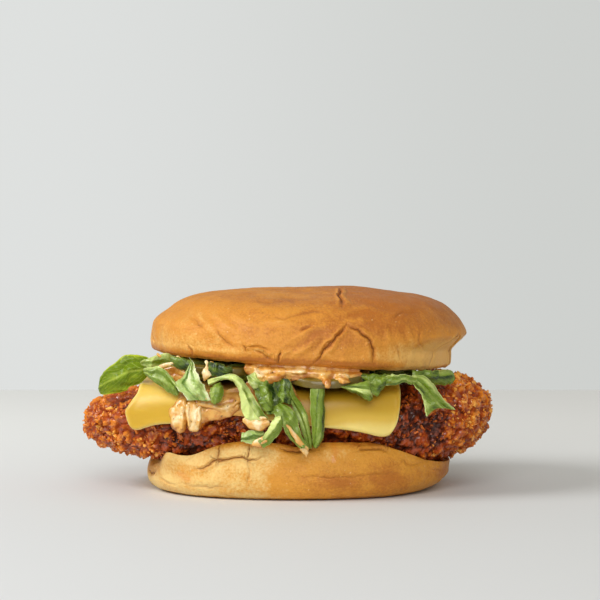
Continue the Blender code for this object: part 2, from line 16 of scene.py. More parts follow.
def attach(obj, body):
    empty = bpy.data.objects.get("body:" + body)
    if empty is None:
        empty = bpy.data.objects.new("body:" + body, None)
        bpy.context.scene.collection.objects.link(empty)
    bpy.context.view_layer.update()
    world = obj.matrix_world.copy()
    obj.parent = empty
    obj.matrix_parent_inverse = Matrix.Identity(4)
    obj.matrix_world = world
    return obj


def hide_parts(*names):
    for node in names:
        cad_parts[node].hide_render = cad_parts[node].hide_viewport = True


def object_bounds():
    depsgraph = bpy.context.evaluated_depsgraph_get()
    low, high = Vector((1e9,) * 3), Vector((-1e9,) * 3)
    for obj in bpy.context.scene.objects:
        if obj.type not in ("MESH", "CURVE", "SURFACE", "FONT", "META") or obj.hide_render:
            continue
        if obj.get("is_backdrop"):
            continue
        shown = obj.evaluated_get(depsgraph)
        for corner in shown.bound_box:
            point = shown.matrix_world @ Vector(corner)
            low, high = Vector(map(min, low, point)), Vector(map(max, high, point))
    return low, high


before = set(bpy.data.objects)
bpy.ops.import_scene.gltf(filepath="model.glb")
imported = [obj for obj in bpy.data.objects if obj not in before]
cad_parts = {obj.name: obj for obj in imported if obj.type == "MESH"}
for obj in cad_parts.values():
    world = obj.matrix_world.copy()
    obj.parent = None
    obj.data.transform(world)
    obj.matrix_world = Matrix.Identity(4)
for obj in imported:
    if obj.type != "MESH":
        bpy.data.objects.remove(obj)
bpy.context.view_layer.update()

MM = 0.001
DESIGN = np.array((-0.286, 1.999, 0.0))  # where the design's zero lies in the frame, mm
print("nodes", len(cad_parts))

# %% [markdown]
# ## Smooth noise
# Food is never even, so almost every shape here is pushed about by noise. Blender's textures could
# do it, but a small function on whole arrays is quick and gives the same numbers on every run.
# `smooth_noise` is a lattice of random values joined by soft steps, `layered_noise` adds finer
# copies of it, and `pebbles` measures the distance to scattered points, which makes lumps.

# %% Noise helpers


def hashed(ix, iy, iz, seed):
    """A fixed random number from 0 to 1 for each lattice point."""
    h = (ix * 374761393 + iy * 668265263 + iz * 1440662683 + seed * 974634777) & 0xFFFFFFFF
    h = ((h ^ (h >> 13)) * 1274126177) & 0xFFFFFFFF
    h = ((h ^ (h >> 15)) * 2246822519) & 0xFFFFFFFF
    return ((h ^ (h >> 16)) & 0xFFFFFF) / 16777215.0


def smooth_noise(points, size, seed):
    """Noise from -1 to 1 whose lumps are about `size` mm across."""
    p = np.asarray(points, float) / size
    cell = np.floor(p).astype(np.int64)
    f = p - cell
    f = f * f * (3.0 - 2.0 * f)
    total = 0.0
    for dx in (0, 1):
        for dy in (0, 1):
            for dz in (0, 1):
                weight = (
                    (f[..., 0] if dx else 1 - f[..., 0])
                    * (f[..., 1] if dy else 1 - f[..., 1])
                    * (f[..., 2] if dz else 1 - f[..., 2])
                )
                total = total + weight * hashed(
                    cell[..., 0] + dx, cell[..., 1] + dy, cell[..., 2] + dz, seed
                )
    return 2.0 * total - 1.0


def layered_noise(points, size, seed, layers=4, gain=0.5):
    total, weight, scale = 0.0, 1.0, size
    for k in range(layers):
        total = total + weight * smooth_noise(points, scale, seed + 17 * k)
        weight *= gain
        scale *= 0.5
    return total


def pebbles(points, size, seed):
    """Distances to the nearest and second nearest scattered point, in units of `size`."""
    p = np.asarray(points, float) / size
    cell = np.floor(p).astype(np.int64)
    first = np.full(p.shape[:-1], 9.0)
    second = np.full(p.shape[:-1], 9.0)
    tone = np.zeros(p.shape[:-1])
    for dx in (-1, 0, 1):
        for dy in (-1, 0, 1):
            for dz in (-1, 0, 1):
                c = cell + np.array((dx, dy, dz))
                jx = hashed(c[..., 0], c[..., 1], c[..., 2], seed)
                jy = hashed(c[..., 0], c[..., 1], c[..., 2], seed + 1)
                jz = hashed(c[..., 0], c[..., 1], c[..., 2], seed + 2)
                own = hashed(c[..., 0], c[..., 1], c[..., 2], seed + 3)
                away = np.sqrt(
                    (c[..., 0] + jx - p[..., 0]) ** 2
                    + (c[..., 1] + jy - p[..., 1]) ** 2
                    + (c[..., 2] + jz - p[..., 2]) ** 2
                )
                closer = away < first
                second = np.where(closer, first, np.minimum(second, away))
                tone = np.where(closer, own, tone)
                first = np.where(closer, away, first)
    return first, second, tone


def ease(low, high, value):
    share = np.clip((np.asarray(value, float) - low) / (high - low), 0.0, 1.0)
    return share * share * (3.0 - 2.0 * share)


def mix(first, second, share):
    return first + (second - first) * share


def through(knots, at):
    """A smooth curve through (position, value) pairs, read at many places at once."""
    places = np.array([k[0] for k in knots], float)
    values = np.array([k[1] for k in knots], float)
    slopes = np.gradient(values, places)
    at = np.clip(at, places[0], places[-1])
    i = np.clip(np.searchsorted(places, at, side="right") - 1, 0, len(places) - 2)
    wide = places[i + 1] - places[i]
    t = (at - places[i]) / wide
    return (
        values[i] * (2 * t**3 - 3 * t**2 + 1)
        + slopes[i] * wide * (t**3 - 2 * t**2 + t)
        + values[i + 1] * (-2 * t**3 + 3 * t**2)
        + slopes[i + 1] * wide * (t**3 - t**2)
    )


# %% [markdown]
# ## Turning arrays into meshes
# A closed body can be made from rings of points, as on a potter's wheel, with a point at each end,
# and a thin sheet from two grids that share a rim. `build` writes the arrays straight into a mesh,
# which is much faster than adding faces one at a time, and stores named values on its points for
# the materials to read.

# %% Mesh helpers


def build(name, points, faces, values=None, uv=None):
    """A mesh object from points in design mm and faces of equal size, with point values."""
    mesh = bpy.data.meshes.new(name)
    points = ((np.asarray(points, float).reshape(-1, 3) + DESIGN) * MM).astype(np.float32)
    faces = np.asarray(faces, np.int32)
    mesh.vertices.add(len(points))
    mesh.vertices.foreach_set("co", points.ravel())
    mesh.loops.add(faces.size)
    mesh.loops.foreach_set("vertex_index", faces.ravel())
    mesh.polygons.add(len(faces))
    mesh.polygons.foreach_set("loop_start", np.arange(0, faces.size, faces.shape[1], dtype=np.int32))
    mesh.update(calc_edges=True)
    for key, data in (values or {}).items():
        layer = mesh.attributes.new(key, "FLOAT", "POINT")
        layer.data.foreach_set("value", np.asarray(data, np.float32).ravel())
    if uv is not None:
        layer = mesh.uv_layers.new(name="leaf_uv")
        layer.data.foreach_set("uv", np.asarray(uv, np.float32)[faces.ravel()].ravel())
    mesh.validate()
    mesh.shade_smooth()
    thing = bpy.data.objects.new(name, mesh)
    bpy.context.scene.collection.objects.link(thing)
    return thing


def ring_faces(rings, around):
    """Quads between closed rings."""
    k, i = np.meshgrid(np.arange(rings - 1), np.arange(around), indexing="ij")
    j = (i + 1) % around
    quads = np.stack([k * around + i, k * around + j, (k + 1) * around + j, (k + 1) * around + i], -1)
    return quads.reshape(-1, 4)


def ring_body(name, grid, low, high, values=None):
    """A closed body: grid is rings x around x 3, low and high are the points at its ends."""
    rings, around = grid.shape[:2]
    quads = ring_faces(rings, around)
    tris = np.concatenate([quads[:, [0, 1, 2]], quads[:, [0, 2, 3]]])
    base, tip = rings * around, rings * around + 1
    i = np.arange(around)
    j = (i + 1) % around
    cap_low = np.stack([j, i, np.full(around, base)], -1)
    last = (rings - 1) * around
    cap_high = np.stack([last + i, last + j, np.full(around, tip)], -1)
    points = np.concatenate([grid.reshape(-1, 3), [low], [high]])
    full = {}
    for key, data in (values or {}).items():
        flat = np.asarray(data, float).reshape(rings, around)
        full[key] = np.concatenate([flat.ravel(), [flat[0].mean()], [flat[-1].mean()]])
    return build(name, points, np.concatenate([tris, cap_low, cap_high]), full)


def grid_normals(grid, closed=True):
    """Outward normals of a grid of points, from its own differences."""
    if closed:
        along = np.roll(grid, -1, axis=1) - np.roll(grid, 1, axis=1)
    else:
        along = np.gradient(grid, axis=1)
    up = np.gradient(grid, axis=0)
    n = np.cross(along, up)
    size = np.linalg.norm(n, axis=-1, keepdims=True)
    return n / np.maximum(size, 1e-9)


def sheet_body(name, upper, lower, values=None, uv=None):
    """A closed thin sheet from two grids of points that meet along a rim."""
    rows, columns = upper.shape[:2]
    i, j = np.meshgrid(np.arange(rows - 1), np.arange(columns - 1), indexing="ij")
    a = (i * columns + j).ravel()
    front = np.stack([a, a + columns, a + columns + 1, a + 1], -1)
    back = front[:, ::-1] + rows * columns
    rim = [(0, c) for c in range(columns)] + [(r, columns - 1) for r in range(1, rows)]
    rim += [(rows - 1, c) for c in range(columns - 2, -1, -1)]
    rim += [(r, 0) for r in range(rows - 2, 0, -1)]
    rim = np.array([r * columns + c for r, c in rim])
    after = np.roll(rim, -1)
    sides = np.stack([rim, after, after + rows * columns, rim + rows * columns], -1)
    points = np.concatenate([upper.reshape(-1, 3), lower.reshape(-1, 3)])
    full = {}
    for key, data in (values or {}).items():
        full[key] = np.concatenate([np.ravel(data), np.ravel(data)])
    both = None if uv is None else np.concatenate([uv.reshape(-1, 2), uv.reshape(-1, 2)])
    return build(name, points, np.concatenate([front, back, sides]), full, both)


def face_outwards(thing):
    """Turns a closed mesh the right way out."""
    mesh = thing.data
    mesh.calc_loop_triangles()
    count = len(mesh.loop_triangles)
    tris = np.empty(count * 3, np.int32)
    mesh.loop_triangles.foreach_get("vertices", tris)
    co = np.empty(len(mesh.vertices) * 3, np.float32)
    mesh.vertices.foreach_get("co", co)
    corners = co.reshape(-1, 3)[tris.reshape(-1, 3)].astype(float)
    volume = np.einsum("ij,ij->i", corners[:, 0], np.cross(corners[:, 1], corners[:, 2])).sum()
    if volume < 0:
        mesh.flip_normals()
    return thing


def oval(angle, half_length, half_depth, squareness):
    c, s = np.cos(angle), np.sin(angle)
    size = (np.abs(c) ** squareness + np.abs(s) ** squareness) ** (-1.0 / squareness)
    return half_length * c * size, half_depth * s * size


PIECES = []


def keep(piece, slot, *nodes):
    """Registers a finished piece: what it rides on and which solids it stands for; the slot argument, its finish, is
    not used.
    """
    face_outwards(piece)
    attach(piece, "root")
    if nodes:
        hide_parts(*nodes)
    PIECES.append(piece)
    print(piece.name, len(piece.data.polygons), "faces")
    return piece


# %% [markdown]
# ## The eye
# The camera stands a little above the table and looks almost level, which is how a burger shows
# its layers best. It is set up before the food, because folds and drips are easiest to place on an
# imagined pane of glass just in front of the burger: `on_pane` gives the point of that pane which
# hides a point of the food.

# %% Camera
EYE = np.array((4.5, -850.0, 98.6))
PITCH = math.radians(2.3)
PANE_Y = -50.0
LENS = 146.4

camera_data = bpy.data.cameras.new("camera")
camera_data.lens = LENS
camera_data.sensor_width = 36.0
camera_data.clip_start = 0.01
camera = bpy.data.objects.new("camera", camera_data)
camera.location = Vector((EYE + DESIGN) * MM)
camera.rotation_euler = (math.radians(90.0) - PITCH, 0.0, 0.0)
bpy.context.scene.collection.objects.link(camera)
bpy.context.scene.camera = camera
print("eye in mm", (EYE + DESIGN).round(1))


def on_pane(points):
    """Where the line from the eye to each point crosses the pane: (x, z) in mm."""
    p = np.asarray(points, float)
    t = (PANE_Y - EYE[1]) / (p[..., 1] - EYE[1])
    return EYE[0] + (p[..., 0] - EYE[0]) * t, EYE[2] + (p[..., 2] - EYE[2]) * t


def near_stroke(x, z, stroke):
    """Signed distance in the pane to a line of (x, z) points, and how far along it, 0 to 1."""
    best = np.full(np.shape(x), 1e9)
    along = np.zeros(np.shape(x))
    lengths = [math.dist(a, b) for a, b in zip(stroke, stroke[1:])]
    start = 0.0
    for (x0, z0), (x1, z1), length in zip(stroke, stroke[1:], lengths):
        t = ((x - x0) * (x1 - x0) + (z - z0) * (z1 - z0)) / length**2
        t = np.clip(t, 0.0, 1.0)
        side = np.sign((x1 - x0) * (z - z0) - (z1 - z0) * (x - x0))
        away = np.hypot(x - x0 - t * (x1 - x0), z - z0 - t * (z1 - z0))
        closer = away < np.abs(best)
        along = np.where(closer, (start + t * length) / sum(lengths), along)
        best = np.where(closer, away * np.where(side == 0, 1.0, side), best)
        start += length
    return best, along


def crease_relief(x, z, strokes):
    """For creases (swelling width, depth, line): height in mm, signed distance and strength.
    A narrow line can't be drawn by a coarse mesh, but its signed distance can: it runs evenly
    through zero, so the material finds the line itself and paints it dark as shade in the crease."""
    warp = np.stack([x, 0.0 * x, z], -1)
    x = x + 0.55 * smooth_noise(warp, 3.1, 801) + 0.22 * smooth_noise(warp, 1.2, 802)
    z = z + 0.55 * smooth_noise(warp, 3.1, 803) + 0.22 * smooth_noise(warp, 1.2, 804)
    height = np.zeros(np.shape(x))
    signed = np.full(np.shape(x), 9.0)
    power = np.zeros(np.shape(x))
    for width, depth, stroke in strokes:
        away, along = near_stroke(x, z, stroke)
        fade = 0.2 + 0.8 * ease(0.0, 0.22, along) * (1.0 - ease(0.72, 1.0, along))
        d = np.abs(away) / width
        height += fade * depth * (0.55 * np.exp(-(((d - 2.3) / 1.3) ** 2)) - 0.8 * np.exp(-(d**2)))
        if depth > 0.0:
            strength = np.minimum(1.0, depth / 0.5) * fade
            signed = np.where(np.abs(away) < np.abs(signed), away, signed)
            power = np.maximum(power, strength * np.exp(-((away / 1.3) ** 2)))
    return height, signed, power


# %% [markdown]
# ## Finishes that share their parts
# A material is a small network of nodes. The effects that several foods share, such as cloudy
# colour or a pattern of flecks, are made once as node groups with named inputs. They all read the
# object's own coordinates, turned into millimetres, so a speck stays the same size everywhere.

# %% Node helpers


def add(tree, kind, inputs=None, **settings):
    """Adds a node; an input given as a socket is linked, and any other value is set."""
    node = tree.nodes.new(kind)
    for key, value in settings.items():
        setattr(node, key, value)
    for key, value in (inputs or {}).items():
        if isinstance(value, bpy.types.NodeSocket):
            tree.links.new(value, node.inputs[key])
        else:
            node.inputs[key].default_value = value
    return node


def maths(tree, operation, first, second=0.0, clamp=False):
    node = add(tree, "ShaderNodeMath", {0: first, 1: second}, operation=operation)
    node.use_clamp = clamp
    return node.outputs[0]


def spread(tree, value, low, high, to_low=0.0, to_high=1.0):
    """A value stretched from one range to another, held inside it, with soft ends."""
    node = add(
        tree,
        "ShaderNodeMapRange",
        {"Value": value, "From Min": low, "From Max": high, "To Min": to_low, "To Max": to_high},
        interpolation_type="SMOOTHSTEP",
    )
    return node.outputs["Result"]


def mixed(tree, first, second, share, kind="MIX"):
    node = add(tree, "ShaderNodeMix", data_type="RGBA", blend_type=kind)
    for index, value in ((6, first), (7, second), (0, share)):
        if isinstance(value, bpy.types.NodeSocket):
            tree.links.new(value, node.inputs[index])
        else:
            node.inputs[index].default_value = (*value, 1.0) if index else value
    return node.outputs[2]


SOCKETS = {"vector": "NodeSocketVector", "float": "NodeSocketFloat", "colour": "NodeSocketColor"}


def new_group(name, inputs, outputs):
    """A shader node group with named sockets: returns the tree, its inputs and its output node."""
    tree = bpy.data.node_groups.new(name, "ShaderNodeTree")
    for label, kind, start in inputs:
        socket = tree.interface.new_socket(name=label, in_out="INPUT", socket_type=SOCKETS[kind])
        if start is not None:
            socket.default_value = start
    for label, kind in outputs:
        tree.interface.new_socket(name=label, in_out="OUTPUT", socket_type=SOCKETS[kind])
    return tree, tree.nodes.new("NodeGroupInput").outputs, tree.nodes.new("NodeGroupOutput")


def noise(tree, place, size, detail=3.0, rough=0.55, stretch=None, bend=0.0):
    """Noise from 0 to 1 whose lumps are about `size` mm across."""
    if stretch is not None:
        place = add(tree, "ShaderNodeVectorMath", {0: place, 1: stretch}, operation="MULTIPLY").outputs[0]
    scale = size if isinstance(size, bpy.types.NodeSocket) else float(size)
    inverse = maths(tree, "DIVIDE", 1.0, scale)
    node = add(
        tree,
        "ShaderNodeTexNoise",
        {"Vector": place, "Scale": inverse, "Detail": detail, "Roughness": rough, "Distortion": bend},
    )
    return node.outputs["Fac"]


# %% Shared effects

millimetres, _, outlet = new_group("millimetres", [], [("Place", "vector")])
place = add(millimetres, "ShaderNodeTexCoord").outputs["Object"]
place = add(millimetres, "ShaderNodeVectorMath", {0: place, 3: 1000.0}, operation="SCALE").outputs[0]
millimetres.links.new(place, outlet.inputs["Place"])

# Three colours along one value, which clouds of two sizes push up and down.
cloudy, inlet, outlet = new_group(
    "cloudy_colour",
    [
        ("Place", "vector", None),
        ("Value", "float", 0.5),
        ("Cloud Size", "float", 8.0),
        ("Cloud Amount", "float", 0.2),
        ("Grain Size", "float", 1.0),
        ("Grain Amount", "float", 0.1),
        ("Low", "colour", (0.8, 0.8, 0.8, 1.0)),
        ("Middle", "colour", (0.5, 0.5, 0.5, 1.0)),
        ("High", "colour", (0.2, 0.2, 0.2, 1.0)),
    ],
    [("Colour", "colour"), ("Value", "float")],
)
large = maths(cloudy, "SUBTRACT", noise(cloudy, inlet["Place"], inlet["Cloud Size"]), 0.5)
small = maths(cloudy, "SUBTRACT", noise(cloudy, inlet["Place"], inlet["Grain Size"], 2.0), 0.5)
large = maths(cloudy, "MULTIPLY", large, inlet["Cloud Amount"])
small = maths(cloudy, "MULTIPLY", small, inlet["Grain Amount"])
pushed = maths(cloudy, "ADD", inlet["Value"], maths(cloudy, "ADD", large, small))
lower = mixed(cloudy, inlet["Low"], inlet["Middle"], spread(cloudy, pushed, 0.0, 0.5))
upper = mixed(cloudy, lower, inlet["High"], spread(cloudy, pushed, 0.5, 1.0))
cloudy.links.new(upper, outlet.inputs["Colour"])
cloudy.links.new(pushed, outlet.inputs["Value"])

# Scattered specks: some cells of a cellular pattern hold one, and its size varies.
specks, inlet, outlet = new_group(
    "specks",
    [
        ("Place", "vector", None),
        ("Spacing", "float", 3.0),
        ("Radius", "float", 0.25),
        ("Share", "float", 0.5),
    ],
    [("Mask", "float")],
)
bent = noise(specks, inlet["Place"], 0.5, 1.0)
nudge = add(specks, "ShaderNodeCombineXYZ", {0: bent, 1: bent, 2: bent}).outputs[0]
nudged = add(specks, "ShaderNodeVectorMath", {0: inlet["Place"], 1: nudge}, operation="ADD").outputs[0]
cells = add(
    specks,
    "ShaderNodeTexVoronoi",
    {"Vector": nudged, "Scale": maths(specks, "DIVIDE", 1.0, inlet["Spacing"])},
)
own = add(specks, "ShaderNodeSeparateColor", {0: cells.outputs["Color"]})
reach = maths(specks, "MULTIPLY", inlet["Radius"], spread(specks, own.outputs[1], 0.0, 1.0, 0.4, 1.2))
reach = maths(specks, "DIVIDE", reach, inlet["Spacing"])
inside = maths(specks, "SUBTRACT", 1.0, maths(specks, "DIVIDE", cells.outputs["Distance"], reach))
chosen = maths(specks, "LESS_THAN", own.outputs[0], inlet["Share"])
mask = maths(specks, "MULTIPLY", spread(specks, inside, 0.0, 0.4), chosen)
specks.links.new(mask, outlet.inputs["Mask"])

# Fine relief of a baked skin: a soft grain, pores, and short wrinkles that run sideways.
skin, inlet, outlet = new_group(
    "baked_skin",
    [("Place", "vector", None), ("Grain", "float", 0.8), ("Wrinkles", "float", 0.5)],
    [("Height", "float"), ("Pores", "float")],
)
grain = noise(skin, inlet["Place"], inlet["Grain"], 4.0, 0.6)
lines = noise(skin, inlet["Place"], 2.2, 3.0, 0.6, (0.6, 0.6, 1.5), 0.8)
lines = maths(skin, "ABSOLUTE", maths(skin, "SUBTRACT", lines, 0.5))
lines = spread(skin, lines, 0.0, 0.05)
wrinkles = maths(skin, "MULTIPLY", lines, inlet["Wrinkles"])
pores = add(skin, "ShaderNodeGroup", {}, node_tree=specks)
pores.inputs["Spacing"].default_value = 1.9
pores.inputs["Radius"].default_value = 0.3
pores.inputs["Share"].default_value = 0.35
skin.links.new(inlet["Place"], pores.inputs["Place"])
height = maths(skin, "ADD", grain, wrinkles)
height = maths(skin, "SUBTRACT", height, maths(skin, "MULTIPLY", pores.outputs["Mask"], 0.5))
skin.links.new(height, outlet.inputs["Height"])
skin.links.new(pores.outputs["Mask"], outlet.inputs["Pores"])

# Leaf veins: a midrib along the leaf and slanting side veins, from the leaf's own flat map.
veins, inlet, outlet = new_group(
    "leaf_veins",
    [("Map", "vector", None), ("Side Veins", "float", 7.0), ("Width", "float", 0.09)],
    [("Mask", "float"), ("Blister", "float")],
)
split = add(veins, "ShaderNodeSeparateXYZ", {0: inlet["Map"]})
off_middle = maths(veins, "ABSOLUTE", maths(veins, "SUBTRACT", split.outputs[1], 0.5))
rib = spread(veins, off_middle, inlet["Width"], 0.0)
sweep = maths(veins, "MULTIPLY", off_middle, 1.3)
sway = maths(veins, "MULTIPLY", noise(veins, inlet["Map"], 0.35, 1.0), 0.16)
run = maths(veins, "ADD", maths(veins, "SUBTRACT", split.outputs[0], sweep), sway)
wave = maths(veins, "SINE", maths(veins, "MULTIPLY", run, maths(veins, "MULTIPLY", inlet["Side Veins"], math.tau)))
side = spread(veins, wave, 0.86, 1.0)
broad = spread(veins, split.outputs[1], 1.1, 0.95, 0.22, 0.7)
mask = maths(veins, "MAXIMUM", rib, maths(veins, "MULTIPLY", side, broad))
veins.links.new(mask, outlet.inputs["Mask"])
veins.links.new(wave, outlet.inputs["Blister"])
print("node groups", [group.name for group in bpy.data.node_groups])


# %% [markdown]
# ## The materials
# Each food mixes its colours from values stored on its own points, such as how brown the crust is
# there, some with painted light and shade added, and from the shared groups. Fine relief goes into
# a bump node, and the larger forms are real geometry.

# %% Material helpers


def new_material(name, roughness=0.5, bump=0.2, **constants):
    """A material with its Principled shader: returns the tree, shader, bump node and place."""
    material = bpy.data.materials.new(name)
    material.use_nodes = True
    tree = material.node_tree
    shader = tree.nodes["Principled BSDF"]
    shader.inputs["Roughness"].default_value = roughness
    for key, value in constants.items():
        shader.inputs[key.replace("_", " ")].default_value = value
    relief = add(tree, "ShaderNodeBump", {"Strength": 1.0, "Distance": bump * MM})
    tree.links.new(relief.outputs["Normal"], shader.inputs["Normal"])
    place = add(tree, "ShaderNodeGroup", node_tree=millimetres).outputs["Place"]
    return material, tree, shader, relief, place


def stored(tree, name):
    return add(tree, "ShaderNodeAttribute", attribute_name=name, attribute_type="GEOMETRY").outputs["Fac"]


def grouped(tree, group, **inputs):
    """A node group in use; spaces in input names are written as underscores."""
    node = add(tree, "ShaderNodeGroup", node_tree=group)
    for key, value in inputs.items():
        socket = node.inputs[key.replace("_", " ")]
        if isinstance(value, bpy.types.NodeSocket):
            tree.links.new(value, socket)
        else:
            socket.default_value = (*value, 1.0) if isinstance(value, tuple) else value
    return node


# %% Bread


def bread(name, pale, golden, brown, roughness):
    material, tree, shader, relief, place = new_material(
        name, roughness, 0.26, Specular_IOR_Level=0.4, Subsurface_Weight=0.05,
        Subsurface_Radius=(1.0, 0.45, 0.2), Subsurface_Scale=0.0015,
    )
    # The stored brown value is the crust's browning, with painted light and shade added on the top of the bun.
    colour = grouped(
        tree, cloudy, Place=place, Value=stored(tree, "brown"), Cloud_Size=5.0, Cloud_Amount=0.5,
        Grain_Size=0.8, Grain_Amount=0.6, Low=pale, Middle=golden, High=brown,
    ).outputs["Colour"]
    surface = grouped(tree, skin, Place=place, Grain=0.75, Wrinkles=0.16)
    pale_specks = grouped(tree, specks, Place=place, Spacing=1.5, Radius=0.26, Share=0.30)
    colour = mixed(tree, colour, (0.90, 0.64, 0.32), maths(tree, "MULTIPLY", pale_specks.outputs["Mask"], 0.45))
    wander = maths(tree, "MULTIPLY", maths(tree, "SUBTRACT", noise(tree, place, 1.1, 3.0), 0.5), 0.9)
    away = maths(tree, "ABSOLUTE", maths(tree, "ADD", stored(tree, "crack_side"), wander))
    power = stored(tree, "crack_power")
    strong = maths(tree, "MULTIPLY", power, maths(tree, "ADD", maths(tree, "MULTIPLY", power, 0.6), 0.4))
    # A narrow dark line along each crease is painted shade in it, with a browner halo beside it.
    line = maths(tree, "MULTIPLY", spread(tree, away, 0.28, 0.02), strong)
    halo = maths(tree, "MULTIPLY", spread(tree, away, 1.3, 0.1), power)
    lip = maths(tree, "MULTIPLY", spread(tree, maths(tree, "ABSOLUTE", maths(tree, "SUBTRACT", away, 0.9)), 0.5, 0.1), power)
    colour = mixed(tree, colour, brown, maths(tree, "MULTIPLY", halo, 0.45))
    colour = mixed(tree, colour, (0.30, 0.080, 0.008), maths(tree, "MULTIPLY", line, 0.75))
    colour = mixed(tree, colour, (0.70, 0.24, 0.01), maths(tree, "MULTIPLY", stored(tree, "oil"), 0.7))
    tree.links.new(colour, shader.inputs["Base Color"])
    height = maths(tree, "ADD", surface.outputs["Height"], maths(tree, "MULTIPLY", lip, 0.8))
    height = maths(tree, "SUBTRACT", height, maths(tree, "MULTIPLY", line, 2.0))
    tree.links.new(height, relief.inputs["Height"])
    shine = spread(tree, noise(tree, place, 4.0), 0.3, 0.7, roughness - 0.06, roughness + 0.1)
    tree.links.new(shine, shader.inputs["Roughness"])
    tree.links.new(maths(tree, "MULTIPLY", stored(tree, "oil"), 0.6), shader.inputs["Coat Weight"])
    return material


bun_crust = bread("bun_crust", (0.86, 0.49, 0.125), (0.66, 0.262, 0.026), (0.44, 0.135, 0.010), 0.48)
heel_crust = bread("heel_crust", (0.81, 0.55, 0.19), (0.68, 0.295, 0.028), (0.47, 0.155, 0.012), 0.5)

# %% Fried coating


def fried(name, deep, red, tan, glow):
    """The coating's body or its crumbs; the last argument is how much lighter the raised parts are painted, as painted
    light, leaving the crevices in painted shade.
    """
    material, tree, shader, relief, place = new_material(
        name, 0.45, 0.35, Specular_IOR_Level=0.18, Coat_Roughness=0.18,
    )
    value = maths(tree, "MULTIPLY", stored(tree, "tone"), 0.55)
    # Raised parts are painted lighter and crevices stay darker: painted light and shade.
    value = maths(tree, "ADD", value, maths(tree, "MULTIPLY", stored(tree, "lift"), glow))
    colour = grouped(
        tree, cloudy, Place=place, Value=value, Cloud_Size=5.0, Cloud_Amount=1.0, Grain_Size=1.1,
        Grain_Amount=0.8, Low=deep, Middle=red, High=tan,
    )
    burnt = grouped(tree, specks, Place=place, Spacing=2.0, Radius=0.32, Share=0.30).outputs["Mask"]
    colour = mixed(tree, colour.outputs["Colour"], (0.035, 0.008, 0.001), maths(tree, "MULTIPLY", burnt, 0.8))
    tree.links.new(colour, shader.inputs["Base Color"])
    rough = noise(tree, place, 0.55, 3.0, 0.65)
    tree.links.new(rough, relief.inputs["Height"])
    oily = spread(tree, noise(tree, place, 2.2), 0.46, 0.56, 0.0, 1.0)
    tree.links.new(oily, shader.inputs["Coat Weight"])
    tree.links.new(spread(tree, rough, 0.3, 0.7, 0.3, 0.6), shader.inputs["Roughness"])
    return material


coating = fried("fried_coating", (0.045, 0.005, 0.0004), (0.36, 0.050, 0.002), (0.80, 0.24, 0.013), 0.58)
crumb_skin = fried("fried_crumb", (0.18, 0.020, 0.001), (0.62, 0.135, 0.008), (0.92, 0.44, 0.075), 0.6)

# %% Cheese

cheese_skin, tree, shader, relief, place = new_material(
    "cheese", 0.36, 0.05, Specular_IOR_Level=0.32, Subsurface_Weight=0.3,
    Subsurface_Radius=(1.0, 0.7, 0.2), Subsurface_Scale=0.003,
)
# The stored edge value is painted light: it pulls the colour towards the pale end along the rim, low on the hanging
# face and at the top left.
colour = grouped(
    tree, cloudy, Place=place, Value=stored(tree, "edge"), Cloud_Size=9.0, Cloud_Amount=0.25,
    Grain_Size=1.5, Grain_Amount=0.06, Low=(0.60, 0.365, 0.030), Middle=(0.70, 0.465, 0.068),
    High=(0.83, 0.655, 0.20),
).outputs["Colour"]
colour = mixed(tree, colour, (0.74, 0.35, 0.075), maths(tree, "MULTIPLY", stored(tree, "stain"), 0.85))
colour = mixed(tree, colour, (0.35, 0.19, 0.004), maths(tree, "MULTIPLY", stored(tree, "shade"), 0.9))
tree.links.new(colour, shader.inputs["Base Color"])
tree.links.new(noise(tree, place, 1.6, 3.0), relief.inputs["Height"])

# %% Lettuce


def lettuce(name, dark, green, light, rib, shine=0.5):
    material, tree, shader, relief, place = new_material(
        name, 0.36, 0.16, Specular_IOR_Level=shine, Subsurface_Weight=0.12,
        Subsurface_Radius=(0.6, 1.0, 0.2), Subsurface_Scale=0.001,
    )
    flat_map = add(tree, "ShaderNodeUVMap", uv_map="leaf_uv").outputs["UV"]
    vein = grouped(tree, veins, Map=flat_map, Side_Veins=6.0, Width=0.07)
    colour = grouped(
        tree, cloudy, Place=place, Value=stored(tree, "tone"), Cloud_Size=4.0, Cloud_Amount=0.25,
        Grain_Size=0.9, Grain_Amount=0.2, Low=dark, Middle=green, High=light,
    ).outputs["Colour"]
    colour = mixed(tree, colour, rib, maths(tree, "MULTIPLY", vein.outputs["Mask"], 0.5))
    tree.links.new(colour, shader.inputs["Base Color"])
    blister = maths(tree, "ADD", noise(tree, place, 1.3, 3.0), maths(tree, "MULTIPLY", vein.outputs["Mask"], -0.5))
    tree.links.new(blister, relief.inputs["Height"])
    tree.links.new(spread(tree, noise(tree, place, 3.0), 0.3, 0.7, 0.2, 0.45), shader.inputs["Roughness"])
    return material


leaf_skin = lettuce("lettuce", (0.013, 0.036, 0.0015), (0.155, 0.235, 0.012), (0.60, 0.70, 0.22), (0.60, 0.68, 0.28))
green_leaf_skin = lettuce("green_leaf", (0.020, 0.045, 0.001), (0.13, 0.20, 0.003), (0.42, 0.50, 0.020), (0.48, 0.56, 0.08), 0.2)
pale_leaf_skin = lettuce("pale_lettuce", (0.10, 0.20, 0.02), (0.36, 0.48, 0.12), (0.74, 0.78, 0.46), (0.80, 0.82, 0.60))

# %% Pickle

